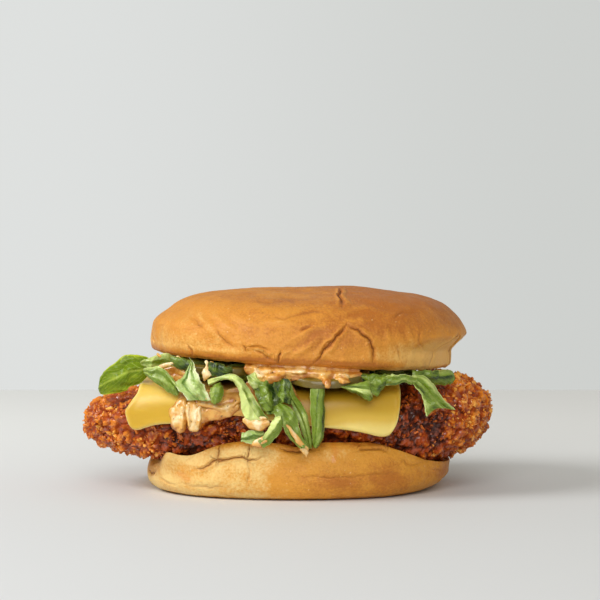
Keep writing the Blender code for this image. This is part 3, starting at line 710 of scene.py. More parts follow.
pickle_skin, tree, shader, relief, place = new_material(
    "pickle", 0.34, 0.08, Coat_Roughness=0.18, Subsurface_Weight=0.25,
    Subsurface_Radius=(1.0, 0.9, 0.4), Subsurface_Scale=0.002,
)
colour = grouped(
    tree, cloudy, Place=place, Value=stored(tree, "rim"), Cloud_Size=3.0, Cloud_Amount=0.3,
    Grain_Size=0.7, Grain_Amount=0.15, Low=(0.14, 0.095, 0.008), Middle=(0.26, 0.19, 0.022),
    High=(0.66, 0.64, 0.32),
).outputs["Colour"]
tree.links.new(colour, shader.inputs["Base Color"])
tree.links.new(noise(tree, place, 0.9, 3.0), relief.inputs["Height"])
tree.links.new(spread(tree, noise(tree, place, 2.5), 0.3, 0.6, 0.05, 0.3), shader.inputs["Coat Weight"])

# %% Sauce

sauce_skin, tree, shader, relief, place = new_material(
    "sauce", 0.26, 0.06, Specular_IOR_Level=0.5, Coat_Roughness=0.08, Subsurface_Weight=0.15,
    Subsurface_Radius=(1.0, 0.6, 0.3), Subsurface_Scale=0.0015,
)
colour = grouped(
    tree, cloudy, Place=place, Value=stored(tree, "cream"), Cloud_Size=2.6, Cloud_Amount=1.1,
    Grain_Size=0.8, Grain_Amount=0.35, Low=(0.46, 0.16, 0.018), Middle=(0.73, 0.39, 0.085),
    High=(0.87, 0.67, 0.36),
).outputs["Colour"]
dark = grouped(tree, specks, Place=place, Spacing=1.5, Radius=0.36, Share=0.45).outputs["Mask"]
colour = mixed(tree, colour, (0.10, 0.06, 0.012), maths(tree, "MULTIPLY", dark, 0.85))
orange = grouped(tree, specks, Place=place, Spacing=2.3, Radius=0.5, Share=0.4).outputs["Mask"]
colour = mixed(tree, colour, (0.66, 0.20, 0.03), maths(tree, "MULTIPLY", orange, 0.5))
tree.links.new(colour, shader.inputs["Base Color"])
tree.links.new(noise(tree, place, 1.2, 2.0), relief.inputs["Height"])
tree.links.new(spread(tree, noise(tree, place, 2.0), 0.4, 0.6, 0.2, 0.8), shader.inputs["Coat Weight"])
print("materials", len(bpy.data.materials))


# %% [markdown]
# ## Top of the bun
# A soft bun is a flattened dome: a profile swept around an oval. The profile is a list of
# (share of the outline, share of the height). Pressed bread wrinkles, so creases are drawn as
# lines on the pane and pushed into the crust, each with a low swelling beside it.

# %% Bun top
TURN = np.arange(480) * 2.0 * math.pi / 480

TOP_PROFILE = (
    (0.0, -0.004), (0.30, 0.0), (0.58, 0.0), (0.80, 0.0), (0.915, 0.0), (0.965, 0.015),
    (0.987, 0.06), (0.998, 0.14), (1.0, 0.25), (0.997, 0.36), (0.987, 0.47), (0.966, 0.58),
    (0.930, 0.68), (0.880, 0.775), (0.810, 0.855), (0.720, 0.915), (0.600, 0.955),
    (0.440, 0.985), (0.240, 1.0), (0.0, 1.004),
)


def profile_points(profile, wide, high, parts):
    """Points along a profile: parts lists (knot to stop at, how many points to reach it)."""
    steps = [math.hypot((b[0] - a[0]) * wide, (b[1] - a[1]) * high) for a, b in zip(profile, profile[1:])]
    place = np.concatenate([[0.0], np.cumsum(steps)])
    at, start = [], place[1]
    for knot, count in parts:
        at.append(np.linspace(start, place[knot], count, endpoint=False))
        start = place[knot]
    at = np.concatenate(at)
    share = through([(p, k[0]) for p, k in zip(place, profile)], at)
    rise = through([(p, k[1]) for p, k in zip(place, profile)], at)
    return np.clip(share, 0.0, 1.0)[:, None], np.clip(rise, 0.0, 1.0)[:, None]


def top_base(x, y):
    tilt = mix(47.0, 41.2, (x + 47.0) / 104.0)
    return tilt + 1.2 * np.maximum(0.0, 1.0 - ((x - 7.5) / 46.0) ** 2 - (y / 44.0) ** 2)


def bump(x, y, at, size, height):
    return height * np.exp(-((x - at[0]) ** 2 + (y - at[1]) ** 2) / (size * size))


TOP_CREASES = (
    (0.50, 0.78, ((17.6, 71.5), (18.0, 68.8), (18.9, 66.8), (18.9, 64.4))),
    (0.9, -0.22, ((19.6, 62.5), (24.2, 63.5), (30.1, 63.8))),
    (0.50, 0.55, ((20.9, 58.6), (17.0, 55.0), (13.7, 51.0), (11.1, 47.7), (8.4, 44.8))),
    (0.45, 0.50, ((20.9, 58.6), (24.5, 56.9), (27.5, 53.3), (28.5, 49.4), (28.2, 44.4))),
    (0.8, -0.30, ((20.9, 59.6), (24.2, 60.3), (27.1, 60.0))),
    (0.45, 0.30, ((4.5, 56.3), (8.1, 58.3))),
    (0.7, 0.30, ((-31.3, 62.9), (-30.3, 60.6), (-28.7, 58.3), (-27.3, 56.9))),
    (0.7, 0.28, ((-23.1, 57.6), (-21.1, 54.6), (-18.2, 52.3), (-15.9, 51.0))),
    (0.45, 0.30, ((-14.2, 52.0), (-12.6, 49.0))),
    (0.40, 0.50, ((-32.3, 52.3), (-31.6, 49.7), (-31.3, 47.7))),
    (0.40, 0.55, ((-2.4, 49.7), (-2.1, 45.1))),
    (0.6, 0.25, ((-25.7, 68.4), (-27.0, 66.5))),
    (0.40, 0.28, ((-11.3, 49.4), (-7.7, 48.1), (-4.0, 46.7))),
    (0.40, 0.25, ((-13.0, 51.4), (-9.0, 50.8), (-6.0, 49.8))),
    (0.40, 0.22, ((44.8, 57.6), (44.2, 53.0), (44.6, 48.6))),
    (0.35, 0.20, ((36.2, 52.0), (37.0, 46.2))),
    (0.35, 0.20, ((50.6, 60.2), (51.0, 57.0))),
    (0.8, 0.18, ((-12.0, 66.4), (-4.0, 66.0), (6.0, 66.9))),
    (0.9, 0.20, ((-40.0, 54.0), (-34.0, 56.6), (-26.0, 58.4))),
    (0.8, 0.20, ((-6.0, 60.6), (0.0, 61.0), (8.0, 63.0), (14.0, 62.4))),
    (0.9, 0.20, ((34.0, 60.0), (40.0, 62.4), (48.0, 61.8))),
    (1.1, -0.26, ((-29.6, 64.0), (-28.0, 60.0), (-25.4, 57.4), (-21.0, 54.4))),
    (1.0, -0.24, ((-25.0, 62.0), (-22.0, 59.6), (-18.6, 57.4), (-14.0, 54.0))),
    (1.2, -0.18, ((-36.0, 58.0), (-33.0, 55.0), (-28.0, 52.6))),
    (1.0, -0.18, ((-16.0, 60.0), (-10.0, 58.6), (-4.0, 59.4), (2.0, 61.2))),
    (0.9, -0.26, ((0.0, 52.0), (4.0, 54.6), (9.0, 57.4), (15.0, 59.4))),
    (0.8, -0.24, ((2.0, 48.0), (6.0, 50.4), (10.0, 53.8))),
    (0.8, -0.22, ((31.6, 58.6), (33.6, 53.0), (33.0, 46.6))),
    (0.8, -0.18, ((40.0, 59.4), (41.6, 53.0), (41.0, 47.4))),
    (0.6, -0.26, ((-12.0, 48.4), (-9.4, 50.0), (-7.0, 48.2), (-4.6, 49.6))),
    (0.5, -0.24, ((-1.0, 48.6), (1.4, 49.8), (3.0, 48.0))),
    (0.6, -0.20, ((-27.0, 50.2), (-22.4, 49.4), (-19.0, 49.8))),
    (0.7, -0.18, ((12.0, 48.6), (16.0, 46.6), (21.0, 46.2))),
    (0.8, -0.16, ((-10.0, 68.2), (0.0, 68.4), (9.0, 68.0))),
    (0.8, -0.16, ((25.0, 67.0), (33.0, 65.4), (41.0, 65.2))),
)


def both_sides(points, strokes):
    """Creases drawn for the front, with other copies of them for the back and the two ends."""
    points = points + 0.8 * layered_noise(points, 8.0, 15, 2)[..., None] * np.array((1.0, 0.0, 0.4))
    found = [crease_relief(*on_pane(points), strokes)]
    strokes = [stroke for stroke in strokes if max(z for _, z in stroke[2]) < 59.0]
    for quarter, shift in ((2, 9.0), (1, -6.0), (3, 14.0)):
        c, s = ((0, 1), (-1, 0), (0, -1))[quarter - 1]
        x, y = points[..., 0] - 7.5, points[..., 1]
        moved = np.stack([7.5 + shift + c * x - s * y, s * x + c * y, points[..., 2]], -1)
        found.append(crease_relief(*on_pane(moved), strokes))
    facing = np.arctan2(points[..., 1], points[..., 0] - 7.5)
    weights = [1.0 - ease(0.62, 0.95, np.abs(np.angle(np.exp(1j * (facing + math.pi / 2)))))]
    for centre in (math.pi / 2, 0.0, math.pi):
        away = np.abs(np.angle(np.exp(1j * (facing - centre))))
        weights.append(1.0 - ease(0.45, 0.72, away))
    away = ease(0.16, 0.44, np.hypot(points[..., 0] - 7.5, points[..., 1]) / 54.0)
    weights = [w * away for w in weights]
    height = sum(w * f[0] for w, f in zip(weights, found))
    strengths = np.stack([w * f[2] for w, f in zip(weights, found)])
    most = strengths.argmax(0)[None]
    signed = np.take_along_axis(np.stack([f[1] for f in found]), most, 0)[0]
    return height, signed, strengths.max(0)


share, rise = profile_points(TOP_PROFILE, 54.0, 24.0, ((6, 18), (13, 90), (19, 78)))
right = ease(0.30, 0.92, np.cos(TURN))
left = ease(0.30, 0.92, -np.cos(TURN))
reach = share * (1.0 - 0.10 * right * (1.0 - ease(0.22, 0.46, rise)) * ease(0.8, 1.0, share))
reach = reach * (1.0 + 0.004 * right * np.exp(-(((rise - 0.46) / 0.09) ** 2)))
shoulder = ease(0.45, 0.72, rise) * (1.0 - ease(0.92, 1.0, rise))
reach = reach * (1.0 - (0.048 * left + 0.006 * right) * shoulder)
reach = reach * (1.0 + 0.006 * np.sin(3.0 * TURN + 0.7))
x, y = oval(TURN, 55.0, 53.5, 2.25)
x, y = 7.5 + x * reach, y * reach
crest = 68.6 + bump(x, y, (22.0, -4.0), 16.0, 0.9) - bump(x, y, (4.0, -30.0), 13.0, 1.0)
crest = crest - bump(x, y, (-30.0, 18.0), 17.0, 1.1) - bump(x, y, (34.0, 30.0), 15.0, 1.3) - bump(x, y, (46.0, -4.0), 15.0, 1.5)
z = mix(top_base(x, y), crest, rise) + 0.5 * np.sin(2.0 * TURN + 1.2) * ease(0.1, 0.5, rise) * share
shape = np.stack([x, y, z], -1)
out = grid_normals(shape)
crust = ease(0.0, 0.03, rise)
relief, crack_side, crack_power = both_sides(shape, TOP_CREASES)
folds = relief + 0.0
relief = relief + 0.28 * layered_noise(shape, 15.0, 3, 3) + 0.06 * layered_noise(shape, 2.6, 5, 2)
flank = crust * (1.0 - ease(0.3, 0.75, rise))
relief = relief + 0.16 * flank * smooth_noise(shape * (1.0, 1.0, 0.45), 2.4, 9)
relief = relief - 0.25 * flank * ease(0.1, 0.6, smooth_noise(shape * (1.0, 1.0, 0.3), 6.0, 11))
crumb = 0.35 * layered_noise(shape, 2.2, 21, 3) - 0.5
shape = shape + out * mix(crumb, relief, crust)[..., None]

u, w = on_pane(shape)
brown = 0.16 + 0.34 * ease(47.0, 60.0, z) + 0.22 * ease(60.0, 68.0, z)
# Browner to the right on the upper crust: partly its baking, partly painted shade on the side away from the key light.
brown = brown + 0.36 * ease(-10.0, 40.0, x) * ease(48.0, 58.0, z)
# Paler low on the right: painted bounce light on the shaded flank.
brown = brown - 0.22 * ease(30.0, 54.0, x) * (1.0 - ease(44.0, 58.0, z))
brown = brown + 0.14 * ease(-25.0, 15.0, x) * (1.0 - ease(20.0, 40.0, x)) * (1.0 - ease(50.0, 60.0, z))
brown = brown + 0.26 * np.exp(-(((x - 4.0) / 24.0) ** 2)) * (1.0 - ease(52.0, 62.0, z))
brown = brown + 0.65 * np.exp(-(((rise - 0.07) / 0.06) ** 2)) * (1.0 - ease(30.0, 45.0, x)) - 0.30 * (1.0 - crust)
# Darker in the crease grooves and paler on their swellings: painted shade and painted light.
brown = brown + 0.10 * layered_noise(shape, 14.0, 31, 3) - 0.6 * folds * crust
oil = 0.45 * np.exp(-(((u - 9.0) / 16.0) ** 2) - (((rise - 0.04) / 0.05) ** 2))
bun_top = ring_body(
    "bun_top", shape, (7.5, 0.0, float(shape[0, :, 2].mean())), (7.5, 0.0, float(shape[-1, :, 2].mean())),
    {"brown": np.clip(brown, 0, 1), "crack_side": crack_side, "crack_power": crack_power * crust, "oil": np.clip(oil, 0, 1)},
)
bun_top.data.materials.append(bun_crust)
keep(bun_top, "bun_crust", "bun_top")

# %% [markdown]
# ## Bottom of the bun
# The heel is the same kind of body, but its rim is raised round the fillet that presses into it.
# `under_fillet` gives the height of the fillet's underside, and the bread stays just below it.

# %% Bun bottom
FILLET_LENGTH, FILLET_DEPTH = 71.0, 46.5


def fillet_section(x):
    swell = ease(36.0, 53.0, x)
    return mix(22.6, 24.6, swell) - 0.3 * ease(45.0, 62.0, -x), mix(12.4, 16.6, swell)


def under_fillet(x, y):
    reach = (np.abs(x) / FILLET_LENGTH) ** 2.35 + (np.abs(y) / (FILLET_DEPTH * 0.93 + 1.3)) ** 2.35
    reach = reach ** (1.0 / 2.35)
    middle, half = fillet_section(x)
    rise = np.maximum(0.0, 1.0 - reach**4) ** 0.25
    return np.where(reach < 1.0, middle - half * rise, 99.0)


HEEL_PROFILE = (
    (0.0, 0.0), (0.40, 0.0), (0.82, 0.0), (0.90, 0.012), (0.95, 0.06), (0.980, 0.15),
    (0.996, 0.27), (1.0, 0.40), (0.998, 0.54), (0.990, 0.68), (0.978, 0.80), (0.962, 0.90),
    (0.940, 0.97), (0.915, 1.0), (0.895, 0.93), (0.880, 0.70), (0.868, 0.36), (0.850, 0.0),
    (0.55, 0.0), (0.0, 0.0),
)
HEEL_CREASES = (
    (0.45, 0.50, ((-31.7, 11.5), (-27.4, 11.1), (-24.1, 13.5), (-18.5, 13.8), (-14.6, 14.8), (-12.0, 13.5), (-5.4, 15.8))),
    (0.40, 0.34, ((22.9, 16.8), (27.5, 17.2), (33.8, 16.1))),
    (0.35, 0.45, ((-22.1, 19.1), (-22.5, 16.4), (-22.8, 13.5))),
    (0.35, 0.50, ((-11.3, 19.1), (-11.6, 16.4), (-12.3, 13.8))),
    (0.35, 0.18, ((-12.3, 13.8), (-12.6, 9.0), (-12.3, 4.5))),
    (0.35, 0.22, ((24.4, 19.1), (23.4, 17.4))),
    (0.35, 0.22, ((33.1, 18.1), (33.4, 16.1))),
    (0.8, 0.55, ((-2.7, 17.7), (2.9, 16.8), (8.8, 16.8))),
    (0.5, 0.35, ((-38.4, 12.6), (-36.8, 10.2), (-33.0, 9.6))),
    (0.5, 0.30, ((37.6, 14.4), (42.0, 12.4), (46.0, 12.6))),
    (0.9, 0.22, ((-40.0, 6.4), (-30.0, 5.2), (-18.0, 4.8))),
    (1.0, 0.22, ((2.0, 8.6), (14.0, 7.8), (28.0, 8.8), (40.0, 9.6))),
)

share, rise = profile_points(HEEL_PROFILE, 52.0, 17.0, ((4, 14), (13, 104), (17, 34), (19, 12)))
outer = np.arange(len(share))[:, None] < 128
end = 1.0 - ease(0.3, 0.8, np.abs(np.sin(TURN)))
rim = mix(mix(12.0, 13.5, ease(-0.4, 0.6, np.cos(TURN))), 19.2, ease(0.40, 0.96, np.abs(np.sin(TURN))))
rim = rim - 1.6 * np.exp(-(((np.cos(TURN) - 0.02) / 0.12) ** 2))
reach = share * (1.0 + 0.006 * np.sin(3.0 * TURN + 2.1)) - 0.02 * end * ease(0.75, 1.0, rise)
x, y = oval(TURN, 52.5, 51.0, 2.3)
x, y = 3.7 + x * reach, y * reach
lift = 2.4 * ease(0.55, 1.0, np.cos(TURN)) * ease(0.82, 1.0, share)
wanted = np.where(outer, rim * rise + lift * (1.0 - ease(0.4, 0.95, rise)), mix(9.2, np.maximum(9.2, rim), rise))
pressed = under_fillet(x, y) - 0.5
z = np.minimum(wanted, pressed)
shape = np.stack([x, y, z], -1)
out = grid_normals(shape)
level = z / np.maximum(rim, 1.0)
flap = np.exp(-(((TURN - math.radians(218.0)) / 0.11) ** 2)) * ease(0.45, 0.95, level) * outer
shape = shape + flap[..., None] * np.array((-1.5, -5.5, 3.4))
relief, crack_side, crack_power = both_sides(shape, HEEL_CREASES)
crust = ease(0.0, 0.05, rise) * outer
relief = relief + 0.25 * layered_noise(shape, 12.0, 43, 3) + 0.07 * layered_noise(shape, 2.4, 45, 2)
relief = relief + 0.22 * smooth_noise(shape * (1.0, 1.0, 0.5), 3.2, 47) * ease(0.5, 0.9, level)
relief = np.where(outer, relief * crust, 0.3 * layered_noise(shape, 3.0, 49, 3) - 0.2)
shape = shape + out * relief[..., None]
shape[..., 2] = np.maximum(shape[..., 2], 0.0)

u, w = on_pane(shape)
brown = 0.10 + 0.30 * ease(-25.0, 30.0, x) + 0.12 * layered_noise(shape, 8.0, 53, 3)
band = np.exp(-(((z - 6.6) / 3.0) ** 2)) * ease(-30.0, 22.0, x) * ease(0.0, 0.12, rise)
brown = brown + 0.42 * band * (1.0 + 0.5 * smooth_noise(shape, 2.6, 55))
brown = brown + 0.20 * np.exp(-(((z - 9.0) / 2.5) ** 2)) * (1.0 - ease(-40.0, -10.0, x))
brown = brown + 0.16 * np.exp(-(((z - 11.5) / 2.6) ** 2)) * ease(-16.0, 0.0, x)
brown = brown + 0.16 * np.exp(-(((z - 2.6) / 1.6) ** 2)) * ease(-40.0, -10.0, x) + 0.12 * ease(-8.0, 10.0, x) * (1.0 - ease(34.0, 46.0, x))
brown = brown + 0.42 * (1.0 - ease(0.0, 1.1, z)) + 0.35 * ease(0.86, 0.99, level) * outer
oil = np.exp(-((near_stroke(u, w, ((15.4, 19.1), (16.3, 16.4), (15.7, 13.8)))[0] / 0.8) ** 2))
oil = oil + 0.8 * np.exp(-((near_stroke(u, w, ((-35.0, 9.2), (-32.4, 7.2)))[0] / 1.1) ** 2))
bun_bottom = ring_body(
    "bun_bottom", shape, (3.7, 0.0, 0.0), (3.7, 0.0, float(shape[-1, :, 2].mean())),
    {"brown": np.clip(brown, 0, 1), "crack_side": crack_side, "crack_power": crack_power * crust, "oil": np.clip(oil * crust, 0, 1)},
)
bun_bottom.data.materials.append(heel_crust)
keep(bun_bottom, "heel_crust", "bun_bottom")

# %% [markdown]
# ## The fried fillet
# A crumbed fillet is a lumpy body covered in small broken crumbs. The body is a squashed oval
# with cellular lumps. The crumbs come from Geometry Nodes: points are scattered on the body
# evenly, each takes one of several crumb shapes, and turns and sizes vary. The tree ends by
# making real geometry, so the crumbs are one mesh like any other.

# %% Fillet body
FINE_TURN = np.arange(700) * 2.0 * math.pi / 700


def fillet_shape(angle, rise):
    """Points of the fillet's smooth form; rise runs from -1 underneath to 1 on top."""
    reach = np.maximum(0.0, 1.0 - np.abs(rise) ** 4) ** 0.25
    x, y = oval(angle, FILLET_LENGTH, FILLET_DEPTH, 2.35)
    lump = 1.0 + 0.008 * np.sin(5.0 * angle + 2.0 * rise) + 0.006 * np.sin(9.0 * angle - 3.0 * rise + 1.0)
    lump = lump - 0.012 * ease(0.5, 1.0, -np.cos(angle)) * np.maximum(0.0, rise)
    x, y = x * reach * lump, y * reach * lump * mix(0.93, 1.0, ease(-0.35, 0.15, rise))
    ends = ease(0.62, 0.98, np.abs(x) / FILLET_LENGTH)
    x = x * (1.0 - 0.075 * ends * ease(0.10, 0.95, -rise)) * (1.0 - 0.025 * ends * ease(0.30, 0.95, rise))
    middle, half = fillet_section(x)
    ripple = 0.35 * np.sin(0.21 * x + 1.3) * np.cos(0.17 * y) * np.abs(rise)
    return np.stack([x, y, middle + half * rise + ripple], -1)


def frying(points):
    """How much lighter or darker the crust is at each place, with painted shade under the hanging cheese and beside its
    right edge.
    """
    x, y, z = points[..., 0], points[..., 1], points[..., 2]
    # Painted shade on the crust's front under the hanging cheese.
    under = ease(46.0, 34.0, np.abs(x)) * ease(0.0, -20.0, y) * ease(28.0, 23.0, z)
    # Painted shade beside the right edge of the hanging cheese.
    near = np.exp(-(((x - 42.0) / 6.5) ** 2)) * ease(0.0, -20.0, y)
    light = 0.20 * ease(-40.0, -58.0, x) + 0.24 * ease(48.0, 60.0, x) + 0.16 * ease(32.0, 40.0, z) * ease(40.0, 50.0, np.abs(x))
    light = light + 0.26 * layered_noise(points, 5.0, 91, 2)
    light = light - 0.12 * ease(20.0, 36.0, x) * ease(62.0, 52.0, x)
    return light - 0.42 * under - 0.42 * near - 0.12 * ease(15.0, 9.0, z)


lap = np.linspace(0.0, 1.0, 2001) * math.pi - 0.5 * math.pi
outline = np.stack([np.sign(np.cos(lap)) * np.abs(np.cos(lap)) ** 0.5 * 50.0, np.sign(np.sin(lap)) * np.abs(np.sin(lap)) ** 0.5 * 13.0], -1)
gone = np.concatenate([[0.0], np.cumsum(np.linalg.norm(np.diff(outline, axis=0), axis=1))])
coarse = np.linspace(5.0, 28.0, 8, endpoint=False)
fine = np.linspace(28.0, gone[-1] - 28.0, 116)
stops = np.concatenate([coarse, fine, gone[-1] - coarse[::-1]])
rise = np.clip(np.interp(stops, gone, outline[:, 1]) / 13.0, -0.9995, 0.9995)[:, None]
shape = fillet_shape(FINE_TURN, rise)
out = grid_normals(shape)
x, y, z = shape[..., 0], shape[..., 1], shape[..., 2]
wavy = shape + 1.5 * np.stack([layered_noise(shape, 3.4, 57 + k, 2) for k in range(3)], -1)
first, second, tone = pebbles(wavy, 4.3, 61)
small_first, small_second, small_tone = pebbles(wavy, 1.9, 65)
gap = ease(0.0, 0.30, second - first)
small_gap = ease(0.0, 0.45, small_second - small_first)
clumps = layered_noise(shape, 7.5, 67, 3)
lumps = 0.6 * clumps + gap * (0.3 + 1.9 * tone) + small_gap * (0.25 + 0.9 * small_tone) - 1.3
lumps = lumps + 0.22 * layered_noise(shape, 1.3, 69, 1)
plain = ease(0.55, 0.80, np.hypot(x / FILLET_LENGTH, y / FILLET_DEPTH))
shape = shape + out * (lumps * mix(0.3, 0.9, plain) - 0.7)[..., None]
value = 0.35 * tone + 0.40 * small_tone + 0.25 * clumps + 0.10
value = value + frying(shape)
# How raised each spot is, stored as lift: the material paints the lumps lighter and the crevices darker, as painted
# light and shade.
height = np.clip(0.25 * gap + 0.35 * small_gap + 0.4 * gap * tone, 0.0, 1.0) * mix(0.25, 1.0, gap)
cover = np.where(np.hypot(x / 60.0, y / 40.0) > 0.80, 1.0, 0.0)
chicken = ring_body(
    "chicken_fillet", shape, (0.0, 0.0, float(shape[0, :, 2].mean())), (0.0, 0.0, float(shape[-1, :, 2].mean())),
    {"tone": np.clip(value, 0, 1), "lift": height, "cover": cover * np.clip(0.38 + 1.5 * layered_noise(shape, 6.0, 68, 2), 0.03, 1.0)},
)
chicken.data.materials.append(coating)

# %% Scatter tree


def scatter_tree():
    """A Geometry Nodes tree that strews shapes over a surface and makes them real."""
    tree = bpy.data.node_groups.new("strew_on_surface", "GeometryNodeTree")
    kinds = {"g": "NodeSocketGeometry", "c": "NodeSocketCollection", "f": "NodeSocketFloat", "i": "NodeSocketInt", "m": "NodeSocketMaterial"}
    for label, kind in (
        ("Geometry", "g"), ("Kinds", "c"), ("Spacing", "f"), ("Density", "f"), ("Smallest", "f"),
        ("Largest", "f"), ("Flatness", "f"), ("Sink", "f"), ("Tumble", "f"), ("Seed", "i"), ("Material", "m"),
    ):
        tree.interface.new_socket(name=label, in_out="INPUT", socket_type=kinds[kind])
    tree.interface.new_socket(name="Geometry", in_out="OUTPUT", socket_type=kinds["g"])
    given = tree.nodes.new("NodeGroupInput").outputs
    cover = add(tree, "GeometryNodeInputNamedAttribute", {"Name": "cover"}, data_type="FLOAT")
    points = add(
        tree, "GeometryNodeDistributePointsOnFaces",
        {"Mesh": given["Geometry"], "Distance Min": given["Spacing"], "Density Max": given["Density"],
         "Density Factor": cover.outputs["Attribute"], "Seed": given["Seed"]},
        distribute_method="POISSON",
    )
    sink = add(tree, "ShaderNodeVectorMath", {0: points.outputs["Normal"], 3: maths(tree, "MULTIPLY", given["Sink"], -1.0)}, operation="SCALE")
    moved = add(tree, "GeometryNodeSetPosition", {"Geometry": points.outputs["Points"], "Offset": sink.outputs[0]})
    tumble = add(tree, "FunctionNodeRandomValue", {"Seed": given["Seed"]}, data_type="FLOAT_VECTOR")
    most = add(tree, "ShaderNodeCombineXYZ", {0: given["Tumble"], 1: given["Tumble"], 2: math.pi})
    least = add(tree, "ShaderNodeVectorMath", {0: most.outputs[0], 3: -1.0}, operation="SCALE")
    tree.links.new(least.outputs[0], tumble.inputs[0])
    tree.links.new(most.outputs[0], tumble.inputs[1])
    turned = add(
        tree, "FunctionNodeRotateRotation",
        {"Rotation": points.outputs["Rotation"], "Rotate By": tumble.outputs[0]}, rotation_space="LOCAL",
    )
    size = add(tree, "FunctionNodeRandomValue", {2: given["Smallest"], 3: given["Largest"], "Seed": maths(tree, "ADD", given["Seed"], 5.0)}, data_type="FLOAT")
    flat = add(tree, "FunctionNodeRandomValue", {2: given["Flatness"], 3: 1.0, "Seed": maths(tree, "ADD", given["Seed"], 9.0)}, data_type="FLOAT")
    scale = add(tree, "ShaderNodeCombineXYZ", {0: size.outputs[1], 1: maths(tree, "MULTIPLY", size.outputs[1], flat.outputs[1]), 2: maths(tree, "MULTIPLY", size.outputs[1], flat.outputs[1])})
    kinds_in = add(tree, "GeometryNodeCollectionInfo", {"Collection": given["Kinds"], "Separate Children": True, "Reset Children": True})
    placed = add(
        tree, "GeometryNodeInstanceOnPoints",
        {"Points": moved.outputs[0], "Instance": kinds_in.outputs[0], "Pick Instance": True,
         "Rotation": turned.outputs[0], "Scale": scale.outputs[0]},
    )
    own = add(tree, "FunctionNodeRandomValue", {2: 0.0, 3: 1.0, "Seed": maths(tree, "ADD", given["Seed"], 13.0)}, data_type="FLOAT")
    toned = add(
        tree, "GeometryNodeStoreNamedAttribute",
        {"Geometry": placed.outputs[0], "Name": "tone", "Value": own.outputs[1]},
        data_type="FLOAT", domain="INSTANCE",
    )
    real = add(tree, "GeometryNodeRealizeInstances", {"Geometry": toned.outputs[0]})
    painted = add(tree, "GeometryNodeSetMaterial", {"Geometry": real.outputs[0], "Material": given["Material"]})
    end = tree.nodes.new("NodeGroupOutput")
    tree.links.new(painted.outputs[0], end.inputs[0])
    return tree


STREW = scatter_tree()


def strew(name, surface, kinds, **inputs):
    """Strews the shapes over a copy of the surface, and gives back one plain mesh object."""
    folder = bpy.data.collections.new(name + "_kinds")
    bpy.context.scene.collection.children.link(folder)
    for kind in kinds:
        bpy.context.scene.collection.objects.unlink(kind)
        folder.objects.link(kind)
    carrier = bpy.data.objects.new(name + "_carrier", surface.data.copy())
    bpy.context.scene.collection.objects.link(carrier)
    modifier = carrier.modifiers.new("strew", "NODES")
    modifier.node_group = STREW
    inputs["Kinds"] = folder
    for item in STREW.interface.items_tree:
        key = item.name.replace(" ", "_")
        if item.in_out == "INPUT" and key in inputs:
            modifier[item.identifier] = inputs[key]
    carrier.update_tag()
    graph = bpy.context.evaluated_depsgraph_get()
    graph.update()
    mesh = bpy.data.meshes.new_from_object(carrier.evaluated_get(graph), depsgraph=graph)
    mesh.name = name
    carrier.modifiers.clear()
    bpy.data.objects.remove(carrier)
    for kind in kinds:
        bpy.data.objects.remove(kind)
    bpy.data.collections.remove(folder)
    thing = bpy.data.objects.new(name, mesh)
    bpy.context.scene.collection.objects.link(thing)
    return thing


def crumb_kind(name, around, levels, seed, squash, rough):
    """One broken crumb about 1 mm across, lying on its flat side; `lift` is higher at its top, which the material
    paints lighter as painted light.
    """
    turn = np.arange(around) * 2.0 * math.pi / around
    tilt = np.linspace(-0.5 * math.pi, 0.5 * math.pi, levels + 2)[1:-1, None]
    grid = np.stack([np.cos(tilt) * np.cos(turn), np.cos(tilt) * np.sin(turn), np.sin(tilt) + 0.0 * turn], -1)
    ends = np.array([[0.0, 0.0, -1.0], [0.0, 0.0, 1.0]])

    def broken(p):
        far = 1.0 + rough * layered_noise(p + seed * 7.3, 0.9, seed, 2)[..., None]
        return p * far * (0.5, 0.5 * squash, 0.5 * squash * 0.9)

    grid, ends = broken(grid), broken(ends)
    lift = (grid[..., 2] - ends[0, 2]) / (ends[1, 2] - ends[0, 2])
    kind = ring_body(name, (grid - DESIGN), ends[0] - DESIGN, ends[1] - DESIGN, {"lift": lift})
    face_outwards(kind)
    kind.data.shade_flat()
    return kind


# %% Crumbs
crumb_kinds = [crumb_kind(f"crumb_{k}", 7, 3, 100 + k, (0.75, 0.5, 0.9, 0.4, 0.8)[k % 5], 0.62) for k in range(10)]
crumbs = strew(
    "fried_crumbs", chicken, crumb_kinds, Spacing=1.6 * MM, Density=320000.0, Smallest=1.2,
    Largest=3.7, Flatness=0.45, Sink=0.3 * MM, Tumble=1.3, Seed=4, Material=crumb_skin,
)
grain_kinds = [crumb_kind(f"grain_{k}", 5, 2, 140 + k, (0.8, 0.65, 0.95)[k % 3], 0.5) for k in range(5)]
grains = strew(
    "fried_grains", chicken, grain_kinds, Spacing=1.1 * MM, Density=1000000.0, Smallest=0.6,
    Largest=2.0, Flatness=0.5, Sink=0.0, Tumble=1.2, Seed=11, Material=crumb_skin,
)
for thing in (crumbs, grains):
    spots = np.empty(len(thing.data.vertices) * 3, np.float32)
    thing.data.vertices.foreach_get("co", spots)
    own = np.empty(len(thing.data.vertices), np.float32)
    thing.data.attributes["tone"].data.foreach_get("value", own)
    # The crumbs take the same crust tone, its painted shade included.
    own = (0.85 * own if thing is crumbs else 0.1 + 0.55 * own) + 1.3 * frying(spots.reshape(-1, 3) / MM - DESIGN)
    thing.data.attributes["tone"].data.foreach_set("value", np.clip(own, -0.3, 1.2).astype(np.float32))
for thing in (chicken, crumbs, grains):
    keep(thing, "fried_crumb", *(["chicken_fillet"] if thing is chicken else []))

# %% [markdown]
# ## The cheese
# One square slice lies on the fillet and hangs over its front, so it bends once and then falls
# almost straight. It is a grid of points that follows that path, with a front and a back skin
# that meet in a rounded rim. Its hanging edges aren't straight, because soft cheese stretches.

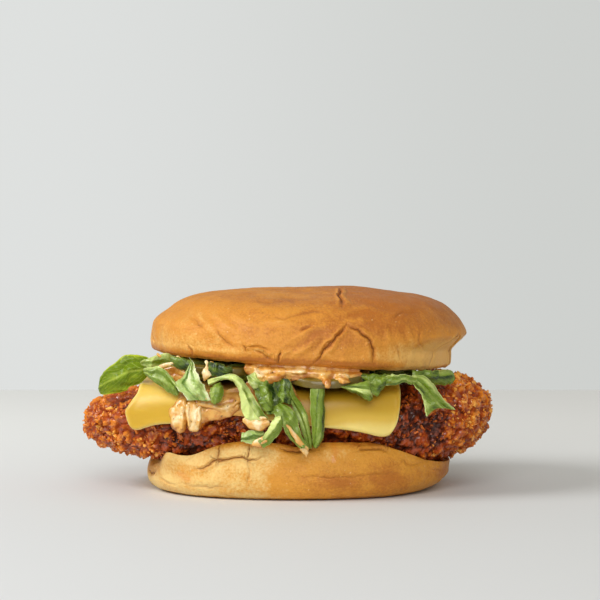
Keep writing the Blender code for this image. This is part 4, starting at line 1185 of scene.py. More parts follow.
# %% Cheese
CHEESE_THICK = 2.2
CHEESE_MIDDLE_Z = 37.05
HANGING_EDGE = (
    (-50.5, 24.6), (-50.0, 23.6), (-48.6, 22.9), (-46.0, 23.6), (-43.0, 24.6), (-36.0, 25.6), (-26.0, 27.2), (-18.0, 28.4),
    (-8.0, 27.2), (0.0, 26.0), (12.0, 24.6), (22.0, 23.4), (28.0, 22.3), (32.0, 21.4), (35.0, 21.2), (37.0, 21.8), (38.0, 23.0), (38.6, 24.6),
)


def fillet_front(x):
    return FILLET_DEPTH * (1.0 - (np.abs(x) / FILLET_LENGTH) ** 2.35) ** (1.0 / 2.35)


def before_cheese(x, distance):
    """The y that lies this far in front of the hanging cheese."""
    return -fillet_front(x) - 3.4 - 0.5 * CHEESE_THICK - distance


def cheese_sag(x, y):
    reach = (np.abs(x) / FILLET_LENGTH) ** 2.35 + (np.abs(y) / FILLET_DEPTH) ** 2.35
    reach = np.minimum(0.93, reach ** (1.0 / 2.35))
    return 0.8 * 12.4 * (1.0 - (1.0 - reach**4) ** 0.25)


across = np.linspace(0.0, 1.0, 240)[None, :]
x0 = mix(-50.5, 38.6, across)
front = -fillet_front(x0) - 3.4
bend = front + 5.0
flat = np.linspace(0.0, 1.0, 60, endpoint=False)[:, None]
turn = np.linspace(0.0, 0.5 * math.pi, 24, endpoint=False)[:, None]
drop = np.linspace(0.0, 1.0, 24)[:, None]
y_flat = mix(36.0, bend, flat)
less = mix(0.2, 0.5, ease(-46.0, -26.0, x0))
sag = less * cheese_sag(x0, bend)
start = CHEESE_MIDDLE_Z - sag - 5.0
sway = (-0.6 + 0.3 * np.sin(0.16 * x0)) * drop
sway = sway - 0.5 * np.exp(-(((x0 + 30.0) / 9.0) ** 2)) * drop + 0.5 * np.exp(-(((x0 - 14.0) / 9.0) ** 2)) * drop**2
path_y = np.concatenate([y_flat, bend - 5.0 * np.sin(turn), front + sway])
path_z = np.concatenate([
    CHEESE_MIDDLE_Z - less * cheese_sag(x0, y_flat), CHEESE_MIDDLE_Z - sag - 5.0 * (1.0 - np.cos(turn)),
    mix(start, through(HANGING_EDGE, x0), drop),
])
ROWS = 170
middle = np.zeros((ROWS, x0.size, 3))
for j in range(x0.size):
    gone = np.concatenate([[0.0], np.cumsum(np.hypot(np.diff(path_y[:, j]), np.diff(path_z[:, j])))])
    even = np.linspace(0.0, gone[-1], ROWS)
    middle[:, j] = np.stack([x0[0, j] + 0.0 * even, np.interp(even, gone, path_y[:, j]), np.interp(even, gone, path_z[:, j])], -1)
for _ in range(14):
    middle[1:-1] = 0.25 * middle[:-2] + 0.5 * middle[1:-1] + 0.25 * middle[2:]
left_edge = through(((18.0, -1.4), (23.6, -1.6), (26.6, -2.6), (28.7, -3.0), (32.0, -1.0), (34.5, 0.9), (37.0, 1.2), (40.0, 0.4)), middle[..., 2])
right_edge = through(((20.0, -3.5), (22.7, -3.1), (26.0, -1.9), (29.5, -1.3), (38.5, -0.4)), middle[..., 2])
middle[..., 0] += left_edge * (1.0 - across) ** 6 + right_edge * across**6
middle = middle + 0.25 * layered_noise(middle, 18.0, 75, 2)[..., None] * np.array((0.0, 1.0, 0.6))
out = grid_normals(middle, closed=False)
out = out * np.sign(out[10, 100, 2])
rim_u = np.minimum(x0 - x0[0, 0], x0[0, -1] - x0) * np.ones((len(middle), 1))
lengths = np.linalg.norm(np.diff(middle[:, 130], axis=0), axis=1)
path = np.concatenate([[0.0], np.cumsum(lengths)])
rim_v = np.minimum(path, path[-1] - path)[:, None]
rim = np.minimum(rim_u, rim_v * np.ones_like(rim_u))
round_off = 0.75
half = 0.5 * CHEESE_THICK * (0.42 + 0.58 * np.sqrt(1.0 - (1.0 - np.clip(rim / round_off, 0.0, 1.0)) ** 2))
half = half * (1.0 + 0.16 * np.exp(-((rim - 1.3) / 0.7) ** 2))
u, w = on_pane(middle)
hanging = ease(38.0, 36.5, w)
# Painted light: a painted highlight along the rim, lighter low on the hanging face towards the right, and lighter at
# the top left where the bend lies in the bun's shade.
edge = 0.9 * np.exp(-((rim / 0.8) ** 2)) + ease(32.5, 22.5, w) * mix(0.05, 1.0, ease(0.0, 24.0, u)) + 0.6 * ease(30.5, 34.0, w) * ease(-24.0, -32.0, u)
# Sauce stains on the cheese; the stain at u 3.5, behind the lettuce strips, is also painted shade from them.
stain = np.zeros_like(u)
for (su, sw, wide, high, much) in ((-23.0, 33.0, 9.0, 5.0, 1.0), (-19.0, 29.5, 6.0, 3.0, 1.0), (-34.0, 41.0, 7.0, 3.0, 0.9), (-9.0, 35.0, 4.5, 5.5, 0.75), (3.5, 32.0, 4.5, 9.0, 0.6)):
    stain = np.maximum(stain, much * np.exp(-(((u - su) / wide) ** 4) - (((w - sw) / high) ** 4)))
stain = np.clip(stain + 0.25 * stain * layered_noise(middle, 3.0, 77, 3), 0.0, 1.0)
# Painted shade where the cheese lies under the pickle and the bun, a little more on the left, and a dark line under the
# pickle's edge.
under = ease(26.5, 36.0, w) * ease(-8.0, 0.0, u) * (1.0 - 0.6 * ease(28.0, 37.0, u)) + 0.16 * ease(-20.0, -30.0, u) * ease(37.0, 31.0, w)
under = np.clip(under + 0.6 * ease(35.6, 37.2, w) * ease(2.0, 6.0, u) * ease(26.0, 22.0, u), 0.0, 1.0)
cheese = sheet_body(
    "cheese_slice", middle + out * half[..., None], middle - out * half[..., None],
    {"edge": np.clip(edge, 0, 1), "stain": stain, "shade": under},
)
cheese.data.materials.append(cheese_skin)
keep(cheese, "cheese", "cheese_slice")

# %% [markdown]
# ## Lettuce
# A shred of leaf is a thin sheet between two rails: its left edge and its right edge, each a
# smooth curve through a few stations. The sheet bulges between them, its edges ruffle, and its
# cut rim is paler. The stations are read from how each shred hangs, so no two are alike.

# %% Leaf maker


def along_rail(stations, at):
    """A smooth curve through stations, read at places from 0 to 1."""
    stations = np.asarray(stations, float)
    keys = np.linspace(0.0, 1.0, len(stations))
    return np.stack([through(list(zip(keys, column)), at) for column in stations.T], -1)


def leaf(name, rails, gaps, folds=(), bulge=0.15, ruffle=0.5, tone=0.5, seed=0, skin=leaf_skin,
         absolute=False, rim_light=0.28, rows=80, columns=36, thick=0.3, rib=False, shade=0.16, crumple=0.55,
         ragged=0.28, notch=0.0):
    """One shred. rails: ((left x, z), (right x, z)) for each station; gaps: how far in front of
    the cheese each station hangs, or with absolute=True its own y; folds: (place across,
    height) of sharp folds, so that flat facets lie between them."""
    at = np.linspace(0.0, 1.0, rows)
    t = np.linspace(0.0, 1.0, columns)[None, :]
    left = along_rail([r[0] for r in rails], at)
    right = along_rail([r[1] for r in rails], at)
    gap = through(list(zip(np.linspace(0.0, 1.0, len(gaps)), gaps)), at)[:, None]
    jag = np.stack([at * 30.0, at * 0.0, at * 0.0 + seed], -1)
    for rail, shift in ((left, 0), (right, 2)):
        rail += ragged * np.stack([layered_noise(jag, 3.4, seed + shift + k, 4, 0.45) for k in (0, 1)], -1)
    x = mix(left[:, None, 0], right[:, None, 0], t)
    z = mix(left[:, None, 1], right[:, None, 1], t)
    y = gap + 0.0 * x if absolute else before_cheese(x, gap)
    side = 2.0 * t - 1.0
    middle = 0.5 * (left + right)
    back = notch * (1.0 - np.abs(side) ** 1.4) * ease(0.6, 1.0, at)[:, None]
    ahead = middle[-1] - middle[-rows // 4]
    ahead = ahead / np.linalg.norm(ahead)
    x, z = x - back * ahead[0], z - back * ahead[1]
    knots = [(0.0, 0.0), *folds, (1.0, 0.0)]
    slant = (0.35 if seed % 4 == 1 else -0.35) * (0.0 if rib else 1.0)
    drift = t + (0.12 * smooth_noise(jag, 7.0, seed + 11)[:, None] + slant * (at[:, None] - 0.5)) * (1.0 - side**2)
    facet = np.interp(drift, [k[0] for k in knots], [k[1] for k in knots])
    facet = facet * (0.75 + 0.5 * smooth_noise(jag, 6.0, seed + 13)[:, None])
    wave = np.stack([x, 0.0 * x + seed, z], -1)
    y = y - bulge * (1.0 - side**2) - facet
    y = y + ruffle * np.abs(side) ** 1.6 * smooth_noise(wave, 3.6, seed + 7)
    y = y + 0.22 * layered_noise(wave, 2.8, seed + 9, 2)
    warped = wave + 1.2 * np.stack([smooth_noise(wave, 3.0, seed + 21 + k) for k in range(3)], -1)
    ridge = 1.0 - 3.2 * np.abs(smooth_noise(warped, 4.2, seed + 19))
    ridge = np.clip(ridge, -0.7, 1.0)
    y = y - crumple * ridge * (1.0 - 0.5 * side**2)
    surface = np.stack([x, y, z], -1)
    out = grid_normals(surface, closed=False)
    out = out * -np.sign(out[rows // 2, columns // 2, 1])
    far = np.linalg.norm(np.diff(surface[:, columns // 2], axis=0), axis=1).sum()
    edge = np.minimum(1.0 - np.abs(side), 2.0 * np.minimum(at, 1.0 - at)[:, None])
    half = 0.5 * thick * (0.35 + 0.65 * ease(0.0, 0.25, edge))[..., None]
    across_map = t if rib else 1.15 + 0.5 * t
    flat = np.stack([at[:, None] * far / 16.0 + 0.0 * t, across_map + 0.0 * at[:, None]], -1)
    wide = np.linalg.norm(left - right, axis=1).max()
    fibre = np.stack([far * at[:, None] + 0.0 * t, 3.5 * wide * drift, 0.0 * x + seed], -1)
    value = tone + (0.10 if rib else 0.22) * layered_noise(fibre, 4.5, seed + 5, 3) + rim_light * ease(0.88, 1.0, np.abs(side))
    steps = [(0.0, 0.0)]
    for number, (knot, _) in enumerate(knots[1:]):
        sign = (1.0, -1.0)[number % 2] * (0.6 + 0.8 * ((seed * 7 + number * 13) % 10) / 10.0)
        steps = steps[:-1] + [(steps[-1][0], sign), (knot - 0.03, sign), (knot + 0.03, sign)]
    plane = np.interp(drift, [k[0] for k in steps], [k[1] for k in steps])
    # Each facet is painted lighter or darker by shade, and the crumpled ridges are painted lighter: painted light and
    # shade on the folds.
    value = value + shade * plane * (0.7 + 0.6 * smooth_noise(jag, 9.0, seed + 15)[:, None]) + 0.14 * min(crumple, 1.0) * ridge
    made = sheet_body(name, surface + out * half, surface - out * half, {"tone": np.clip(value, 0.0, 1.0)}, flat)
    made.data.materials.append(skin)
    return made


# %% Hanging shreds
keep(leaf("lettuce_leaf_over_cheese", (
    ((-47.6, 43.4), (-47.4, 41.4)), ((-45.0, 44.0), (-45.6, 40.4)), ((-42.4, 44.2), (-43.6, 39.0)),
    ((-40.0, 43.4), (-41.4, 37.4)), ((-37.8, 41.2), (-39.4, 36.2)), ((-36.2, 38.6), (-37.6, 35.4)), ((-35.4, 36.0), (-36.0, 34.6))),
    (-1.8, 0.6, 1.6, 1.9, 2.0, 2.0, 1.6), ((0.22, 0.9), (0.45, -0.3), (0.70, 0.9)), tone=0.50, seed=201),
    "lettuce", "lettuce_leaf_over_cheese")
keep(leaf("lettuce_leaf_spiked", (
    ((-31.7, 47.0), (-31.3, 47.0)), ((-32.4, 44.4), (-30.3, 44.6)), ((-34.0, 41.6), (-29.0, 42.0)),
    ((-36.6, 39.0), (-27.6, 39.4)), ((-35.2, 37.0), (-26.2, 36.8)), ((-33.0, 35.0), (-25.0, 34.6)),
    ((-31.4, 33.6), (-25.6, 33.4))), (-2.6, -0.4, 1.4, 2.4, 2.8, 2.8, 2.6),
    ((0.25, 0.9), (0.42, -0.2), (0.62, 1.1), (0.80, 0.2)), ruffle=1.3, tone=0.42, seed=203,
    skin=pale_leaf_skin, shade=0.34, crumple=1.3, ragged=0.6), "pale_lettuce", "lettuce_leaf_spiked")
keep(leaf("lettuce_curl_small", (
    ((-23.8, 38.6), (-21.8, 39.4)), ((-24.9, 37.4), (-20.8, 38.2)), ((-25.2, 35.6), (-20.5, 36.2)),
    ((-24.9, 33.8), (-21.0, 34.2)), ((-23.9, 32.4), (-22.4, 32.5))), (0.6, 2.0, 2.6, 2.8, 2.6),
    ((0.35, 0.2), (0.62, 1.1)), bulge=1.5, tone=0.50, seed=205, rim_light=0.3, ruffle=0.2, shade=0.28, crumple=0.2), "lettuce", "lettuce_curl_small")
keep(leaf("lettuce_strip_arched", (
    ((-25.3, 38.5), (-25.8, 40.0)), ((-21.5, 40.0), (-22.9, 41.2)), ((-18.6, 40.2), (-19.6, 42.2)), ((-16.8, 39.0), (-16.7, 42.3)),
    ((-15.8, 36.8), (-14.4, 40.6)), ((-15.2, 34.6), (-12.2, 37.3)), ((-14.6, 31.8), (-10.2, 34.4)),
    ((-13.6, 28.6), (-7.8, 30.8)), ((-12.6, 26.4), (-6.0, 27.8))),
    (0.2, 1.4, 2.4, 3.2, 3.8, 4.2, 4.4, 4.4, 4.0), ((0.46, 1.3),),
    shade=0.24, crumple=0.8, tone=0.86, seed=207, rows=130), "lettuce", "lettuce_strip_arched")
keep(leaf("lettuce_tip_pale", (
    ((-14.6, 23.0), (-14.8, 20.2)), ((-12.4, 23.8), (-12.8, 19.6)), ((-10.0, 24.4), (-10.8, 19.4)), ((-8.0, 24.0), (-8.6, 19.2)),
    ((-6.8, 22.8), (-7.0, 20.2))), (3.2, 3.6, 3.6, 3.4, 3.2), ((0.30, 0.7), (0.62, -0.2)), tone=0.30, seed=209,
    skin=pale_leaf_skin), "pale_lettuce", "lettuce_tip_pale")
keep(leaf("lettuce_strip_zigzag", (
    ((-9.2, 20.8), (-7.4, 18.6)), ((-7.6, 22.0), (-5.2, 19.6)), ((-6.4, 24.0), (-3.2, 21.8)), ((-5.2, 26.2), (-1.6, 24.6)),
    ((-3.4, 28.2), (-1.0, 27.0)), ((-2.2, 29.2), (-1.4, 28.6))), (5.0, 5.2, 5.4, 5.6, 5.6, 5.4),
    ((0.45, 0.8),), tone=0.54, seed=211, shade=0.22), "lettuce", "lettuce_strip_zigzag")
keep(leaf("lettuce_fold_middle", (
    ((-4.2, 31.6), (-1.8, 33.2)), ((-3.8, 29.2), (1.6, 31.2)), ((-2.2, 26.8), (3.6, 28.2)),
    ((-0.6, 24.4), (4.2, 25.0)), ((1.1, 21.8), (5.2, 21.8)), ((3.0, 19.4), (7.0, 19.2)), ((5.6, 18.0), (8.0, 17.8))),
    (3.4, 4.6, 5.0, 5.0, 5.0, 4.8, 4.4), ((0.28, 1.0), (0.5, -0.1), (0.72, 0.6)), tone=0.52, seed=213),
    "lettuce", "lettuce_fold_middle")
keep(leaf("lettuce_strip_long", (
    ((-0.6, 39.4), (1.4, 39.4)), ((0.2, 36.4), (2.6, 36.0)), ((1.4, 33.4), (4.6, 33.2)), ((2.6, 30.0), (6.4, 30.2)), ((3.8, 26.6), (7.4, 27.0)),
    ((5.0, 23.2), (8.0, 23.2)), ((6.3, 20.2), (8.6, 20.2)), ((7.6, 18.0), (8.6, 17.8))),
    (2.0, 2.2, 2.4, 2.6, 2.6, 2.6, 2.6, 2.4), ((0.35, -0.2), (0.55, 0.9)), tone=0.50, seed=215, rows=110), "lettuce", "lettuce_strip_long")
keep(leaf("lettuce_strip_rolled", (
    ((8.2, 38.8), (12.4, 38.8)), ((8.0, 34.0), (12.6, 34.2)), ((8.1, 28.0), (12.6, 28.2)), ((8.4, 22.4), (12.4, 22.8)),
    ((8.6, 19.6), (11.4, 19.8)), ((9.0, 18.2), (10.4, 18.2))), (2.4, 2.6, 2.8, 3.0, 2.8, 2.4),
    ((0.30, 0.35), (0.42, 0.9), (0.78, 0.7)), bulge=0.9, ruffle=0.12, tone=0.34, seed=217, rows=100, shade=0.14, crumple=0.15, rim_light=0.5), "lettuce", "lettuce_strip_rolled")
keep(leaf("lettuce_funnel", (
    ((17.8, 38.2), (17.9, 37.7)), ((20.2, 38.8), (20.6, 36.8)), ((22.6, 39.2), (23.2, 35.6)), ((24.8, 39.8), (25.6, 34.2)), ((26.6, 40.2), (27.4, 33.4)),
    ((27.3, 39.8), (28.2, 33.6)), ((27.6, 39.2), (28.4, 34.4))), (2.2, 3.0, 3.8, 4.6, 4.8, 3.6, 2.0),
    ((0.25, 0.9), (0.45, 0.3), (0.72, 1.1)), bulge=0.7, ruffle=0.2, tone=0.48, seed=219, rim_light=0.1, crumple=0.2, shade=0.28), "lettuce", "lettuce_funnel")
keep(leaf("lettuce_ruffle_right", (
    ((31.6, 40.8), (31.4, 38.2)), ((33.6, 41.6), (33.8, 38.2)), ((35.8, 41.8), (36.2, 38.6)), ((38.0, 41.8), (38.4, 39.2)),
    ((40.4, 41.6), (40.8, 38.8)), ((43.0, 41.0), (43.4, 38.8))), (0.4, 1.4, 1.6, 2.2, 1.8, 1.4), ((0.22, 0.2), (0.5, 1.1), (0.78, 0.1)),
    ruffle=1.3, tone=0.40, seed=221, rim_light=0.6, shade=0.26), "lettuce", "lettuce_ruffle_right")
keep(leaf("lettuce_leaf_hanging", (
    ((40.0, 39.8), (41.6, 41.6)), ((42.6, 37.6), (45.4, 41.0)), ((44.2, 35.4), (48.2, 38.8)), ((45.2, 33.0), (50.0, 36.2)),
    ((45.8, 30.8), (52.2, 33.4)), ((46.2, 28.8), (54.6, 31.0)), ((46.4, 27.6), (56.2, 29.6))), (0.2, 1.0, 1.6, 2.0, 2.4, 2.6, 2.8),
    ((0.18, 0.1), (0.42, 1.2), (0.60, -0.1), (0.82, 1.0)), tone=0.53, seed=223, rows=100, ruffle=0.9, shade=0.30, crumple=0.3, rim_light=0.5, notch=2.2), "lettuce", "lettuce_leaf_hanging")

# %% Leaves that lie on the fillet
keep(leaf("lettuce_leaf_left", (
    ((-45.0, 45.8), (-45.8, 41.4)), ((-48.6, 46.8), (-49.2, 37.6)), ((-52.2, 47.0), (-52.8, 36.2)), ((-55.4, 46.5), (-54.6, 34.6)),
    ((-58.6, 44.2), (-57.8, 34.2)), ((-61.6, 41.6), (-61.0, 33.2)), ((-63.6, 38.8), (-63.2, 33.4)), ((-64.1, 36.6), (-64.0, 34.8))),
    (-30.5, -29.5, -28.5, -27.5, -26.0, -24.0, -22.0, -20.5), ((0.16, 0.5), (0.30, -0.2), (0.50, 1.3), (0.75, 0.7)),
    bulge=0.8, ruffle=1.0, tone=0.47, seed=225, rows=110, columns=50, absolute=True, rib=True, shade=0.08, skin=green_leaf_skin, rim_light=0.5), "lettuce", "lettuce_leaf_left")
keep(leaf("lettuce_leaf_upper_left", (
    ((-49.2, 45.0), (-49.0, 44.0)), ((-46.2, 46.4), (-46.6, 43.2)), ((-43.0, 47.6), (-43.6, 42.8)), ((-40.0, 47.8), (-40.8, 43.2)), ((-37.0, 46.6), (-37.8, 43.6))),
    (-33.5, -34.0, -34.4, -34.0, -33.0), ((0.35, 0.8), (0.6, 0.0)), tone=0.66, seed=227, absolute=True), "lettuce", "lettuce_leaf_upper_left")
keep(leaf("lettuce_roll_right", (
    ((46.6, 41.2), (47.0, 37.8)), ((49.2, 42.2), (49.4, 37.4)), ((52.0, 42.4), (52.2, 37.4)), ((54.2, 42.4), (54.4, 37.5)), ((55.5, 42.0), (55.7, 38.1)), ((56.1, 41.0), (56.3, 39.1))),
    (-36.2, -35.8, -35.0, -34.0, -33.0, -32.4), ((0.35, 0.6),), bulge=2.0, ruffle=0.2, tone=0.50, seed=229, absolute=True, shade=0.2, crumple=0.2), "lettuce", "lettuce_roll_right")

# %% [markdown]
# ## Pickles
# A pickle slice is a short disc with rounded corners. The front one droops over the lettuce, so
# its skin and a thin pale line of flesh face the eye.

# %% Pickles


def pickle(name, spot, radius, droop, seed):
    turn = np.arange(200) * 2.0 * math.pi / 200
    steps = ((0.0, -1.0), (0.5, -1.0), (0.90, -1.0), (0.965, -0.97), (0.99, -0.85), (1.0, -0.6), (1.006, 0.0),
             (1.0, 0.6), (0.99, 0.85), (0.965, 0.97), (0.90, 1.0), (0.5, 1.0), (0.0, 1.0))
    keys = np.linspace(0.0, 1.0, len(steps))
    at = np.linspace(0.03, 0.97, 64)
    share = through(list(zip(keys, [s[0] for s in steps])), at)[:, None]
    level = through(list(zip(keys, [s[1] for s in steps])), at)[:, None]
    wobble = 1.0 + 0.012 * np.sin(5.0 * turn + seed) + 0.008 * np.sin(9.0 * turn)
    x = radius * share * wobble * np.cos(turn)
    y = radius * share * wobble * np.sin(turn)
    z = 1.35 * level - droop * np.maximum(0.0, -y / radius) ** 2
    grid = np.stack([x, y, z], -1) + spot
    grid = grid + 0.08 * grid_normals(grid) * smooth_noise(grid, 1.6, seed)[..., None]
    edge = 0.75 * np.exp(-(((level + 0.95) / 0.07) ** 2)) * ease(0.95, 0.99, share) + 0.4 * ease(0.94, 0.985, share) * ease(0.86, 0.99, level)
    flesh = 0.5 * (1.0 - ease(0.86, 0.96, share)) + 0.1 * smooth_noise(grid, 3.0, seed + 1)
    rim = np.clip(np.maximum(edge, flesh) + 0.0 * x, 0.0, 1.0)
    ends = [np.array(spot) + (0.0, 0.0, s * 1.35) for s in (-1.0, 1.0)]
    made = ring_body(name, grid, ends[0], ends[1], {"rim": rim})
    made.data.materials.append(pickle_skin)
    return made


keep(pickle("pickle_slice", (12.6, -39.8, 41.3), 15.0, 2.6, 301), "pickle", "pickle_slice")
keep(pickle("pickle_slice_rear", (-19.5, -33.5, 42.9), 13.5, 0.4, 305), "pickle", "pickle_slice_rear")

# %% [markdown]
# ## Sauce
# Sauce that clings to something is a height over that thing's face: strokes with a round section
# add up to one smooth height, and the outline is where the height falls to nothing. The mesh is
# a fine grid with everything outside the outline left out, and its border points are pulled onto
# the outline, so that drips get smooth edges. Thin sauce shows more orange than thick sauce.

# %% Sauce maker
BEND_Z = 31.2


def cheese_face(x, z, gap):
    """The y in front of the hanging cheese, following its bend near the top."""
    rise = np.clip(z - BEND_Z, 0.0, 4.8)
    return before_cheese(x, gap) + 5.0 - np.sqrt(25.0 - rise**2)


def sauce(name, strokes, seed, cream=0.5, step=0.22, lumpy=0.28):
    """strokes: lines of (x, z, half width, height, gap before the cheese); cream: how thick and
    pale the sauce looks, one number or pairs of (x, number)."""
    places = np.array([stop for stroke in strokes for stop in stroke], float)
    margin = places[:, 2].max() + 1.5
    xs = np.arange(places[:, 0].min() - margin, places[:, 0].max() + margin, step)
    zs = np.arange(places[:, 1].min() - margin, places[:, 1].max() + margin, step)
    x, z = np.meshgrid(xs, zs)
    spot = np.stack([x, 0.0 * x + seed, z], -1)
    wx = x + 0.45 * layered_noise(spot, 3.0, seed, 2)
    wz = z + 0.45 * layered_noise(spot, 3.0, seed + 1, 2)
    inside, height, gap, weight = 0.0, 0.0, 0.0, 0.0
    for stroke in strokes:
        stroke = np.array(stroke, float)
        d, along = near_stroke(wx, wz, [tuple(p[:2]) for p in stroke])
        far = np.concatenate([[0.0], np.cumsum(np.hypot(np.diff(stroke[:, 0]), np.diff(stroke[:, 1])))])
        wide, high, own = (np.interp(along, far / far[-1], stroke[:, k]) for k in (2, 3, 4))
        left = wide - np.abs(d)
        share = np.exp(np.clip(left, -12.0, 6.0) / 0.35)
        inside, gap, weight = inside + share, gap + share * own, weight + share
        height = height + (high * np.sqrt(np.clip(1.0 - (d / wide) ** 2, 0.0, 1.0))) ** 3
    inside = 0.35 * np.log(inside)
    gap = gap / weight
    height = height ** (1.0 / 3.0) * (1.0 + lumpy * layered_noise(spot, 2.6, seed + 2, 2))
    height = np.maximum(height, 0.25 * ease(0.0, 0.5, inside))
    kept = inside > 0.0
    quads = kept[:-1, :-1] | kept[1:, :-1] | kept[1:, 1:] | kept[:-1, 1:]
    gz, gx = np.gradient(inside, step)
    slope = np.maximum(0.35, gx**2 + gz**2)
    pull = np.where(kept, 0.0, np.clip(-inside / slope, 0.0, 1.5 * step))
    px, pz = x + pull * gx, z + pull * gz
    height = np.where(kept, height, 0.0)
    face = cheese_face(px, pz, gap)
    upper = np.stack([px, face - height, pz], -1)
    lower = np.stack([px, face + np.minimum(0.5, 0.7 * height) + 0.02, pz], -1)
    # The tilt term paints the sauce darker where its face turns down and lighter where it turns up: painted shade and
    # painted light.
    tilt = np.gradient(height, step, axis=0)
    cream = np.interp(x, *np.transpose(cream)) if isinstance(cream, tuple) else cream
    value = cream + (0.15 + 0.7 * lumpy) * layered_noise(spot, 2.4, seed + 3, 3) + 0.40 * (np.clip(height, 0.0, 1.6) - 0.8) - 0.22 * tilt

    index = np.arange(x.size).reshape(x.shape)
    i, j = np.nonzero(quads)
    corners = np.stack([index[i, j], index[i, j + 1], index[i + 1, j + 1], index[i + 1, j]], -1)
    ends = np.concatenate([corners[:, [k, (k + 1) % 4]] for k in range(4)])
    keys = np.sort(ends, axis=1)
    _, first, count = np.unique(keys[:, 0] * x.size + keys[:, 1], return_index=True, return_counts=True)
    rim = ends[first[count == 1]]
    faces = np.concatenate([corners, corners[:, ::-1] + x.size, np.stack([rim[:, 1], rim[:, 0], rim[:, 0] + x.size, rim[:, 1] + x.size], -1)])
    used, faces = np.unique(faces, return_inverse=True)
    faces = faces.reshape(-1, 4)
    points = np.concatenate([upper.reshape(-1, 3), lower.reshape(-1, 3)])[used]
    both = np.clip(np.concatenate([value.ravel(), value.ravel()]), 0.0, 1.0)[used]
    made = build(name, points, faces, {"cream": both})
    face_outwards(made)
    made.data.materials.append(sauce_skin)
    return made


# %% Sauce pieces
keep(sauce("sauce_drip_left", (
    ((-33.9, 34.6, 1.3, 0.8, 0.6), (-34.8, 32.0, 2.2, 1.2, 0.6), (-35.7, 28.8, 2.8, 1.6, 0.6), (-35.4, 26.0, 2.7, 1.8, 0.7), (-34.8, 24.4, 1.9, 1.5, 0.8)),
    ((-37.2, 30.2, 0.8, 1.2, 0.6), (-37.3, 27.4, 0.8, 1.4, 0.6), (-36.6, 24.8, 0.8, 1.2, 0.6)),
    ((-34.2, 31.0, 0.7, 1.7, 0.6), (-34.4, 27.4, 0.7, 2.2, 0.6), (-34.3, 24.4, 0.6, 1.6, 0.6))),
    401, 0.24, lumpy=0.2), "sauce", "sauce_drip_left")
keep(sauce("sauce_ridge", (
    ((-31.2, 31.6, 1.5, 0.8, 0.6), (-30.5, 29.2, 2.2, 1.4, 0.7), (-30.3, 26.4, 2.3, 1.7, 0.8), (-30.6, 24.4, 1.9, 1.4, 0.8)),
    ((-32.3, 31.2, 0.7, 1.4, 0.6), (-32.5, 28.0, 0.7, 2.0, 0.6), (-32.2, 24.8, 0.6, 1.8, 0.6)),
    ((-28.8, 30.6, 0.6, 1.4, 0.6), (-28.4, 27.6, 0.6, 1.8, 0.6), (-29.0, 25.0, 0.5, 1.4, 0.6)),
    ((-28.6, 32.4, 1.1, 0.8, 0.5), (-25.0, 31.4, 1.2, 1.1, 0.5), (-21.0, 30.8, 1.2, 1.1, 0.5), (-17.6, 32.0, 1.0, 0.9, 0.5), (-15.6, 34.0, 0.9, 0.6, 0.5)),
    ((-28.4, 27.8, 1.9, 0.55, 0.5), (-24.0, 28.4, 1.9, 0.7, 0.5), (-19.6, 29.6, 1.7, 0.6, 0.5), (-16.4, 31.0, 1.3, 0.5, 0.5)),
    ((-29.0, 34.6, 1.8, 0.30, 0.5), (-24.0, 34.4, 2.1, 0.35, 0.5), (-19.0, 34.8, 2.0, 0.35, 0.5), (-15.8, 36.2, 1.4, 0.3, 0.5))),
    405, 0.50, lumpy=0.1), "sauce", "sauce_ridge")
keep(sauce("sauce_smears", (
    ((-24.4, 45.4, 0.8, 0.3, 1.6), (-23.8, 43.2, 1.1, 0.35, 2.0), (-22.8, 41.4, 1.0, 0.3, 2.0)),
    ((-40.6, 42.2, 1.0, 0.5, -0.6), (-37.6, 42.8, 1.3, 0.6, -0.4), (-34.8, 42.2, 1.2, 0.6, 0.0), (-32.4, 41.0, 0.8, 0.4, 0.0)),
    ((-37.0, 40.6, 1.2, 0.35, 0.3), (-34.6, 39.0, 1.4, 0.4, 0.4), (-32.6, 37.4, 1.0, 0.3, 0.4)),
    ((-12.6, 38.4, 1.0, 0.35, 0.5), (-11.0, 35.4, 1.3, 0.4, 0.5), (-9.6, 32.4, 1.2, 0.35, 0.6), (-8.6, 30.0, 0.8, 0.3, 0.6)),
    ((1.6, 37.8, 0.7, 0.25, 0.5), (3.0, 34.0, 1.0, 0.3, 0.5), (4.2, 30.4, 1.0, 0.3, 0.6), (5.0, 27.0, 0.7, 0.25, 0.6))),
    421, 0.40, lumpy=0.15), "sauce")
keep(sauce("sauce_drip_upper", (
    ((-26.5, 45.7, 0.8, 0.4, 1.8), (-26.4, 45.2, 0.5, 0.4, 2.6), (-26.4, 44.7, 0.36, 0.4, 3.2), (-26.3, 43.7, 1.15, 0.7, 3.8),
     (-26.4, 42.3, 1.75, 1.1, 4.0), (-26.6, 41.0, 1.1, 0.8, 4.0), (-26.8, 40.0, 0.4, 0.4, 4.0)),), 409, 1.0), "sauce", "sauce_drip_upper")
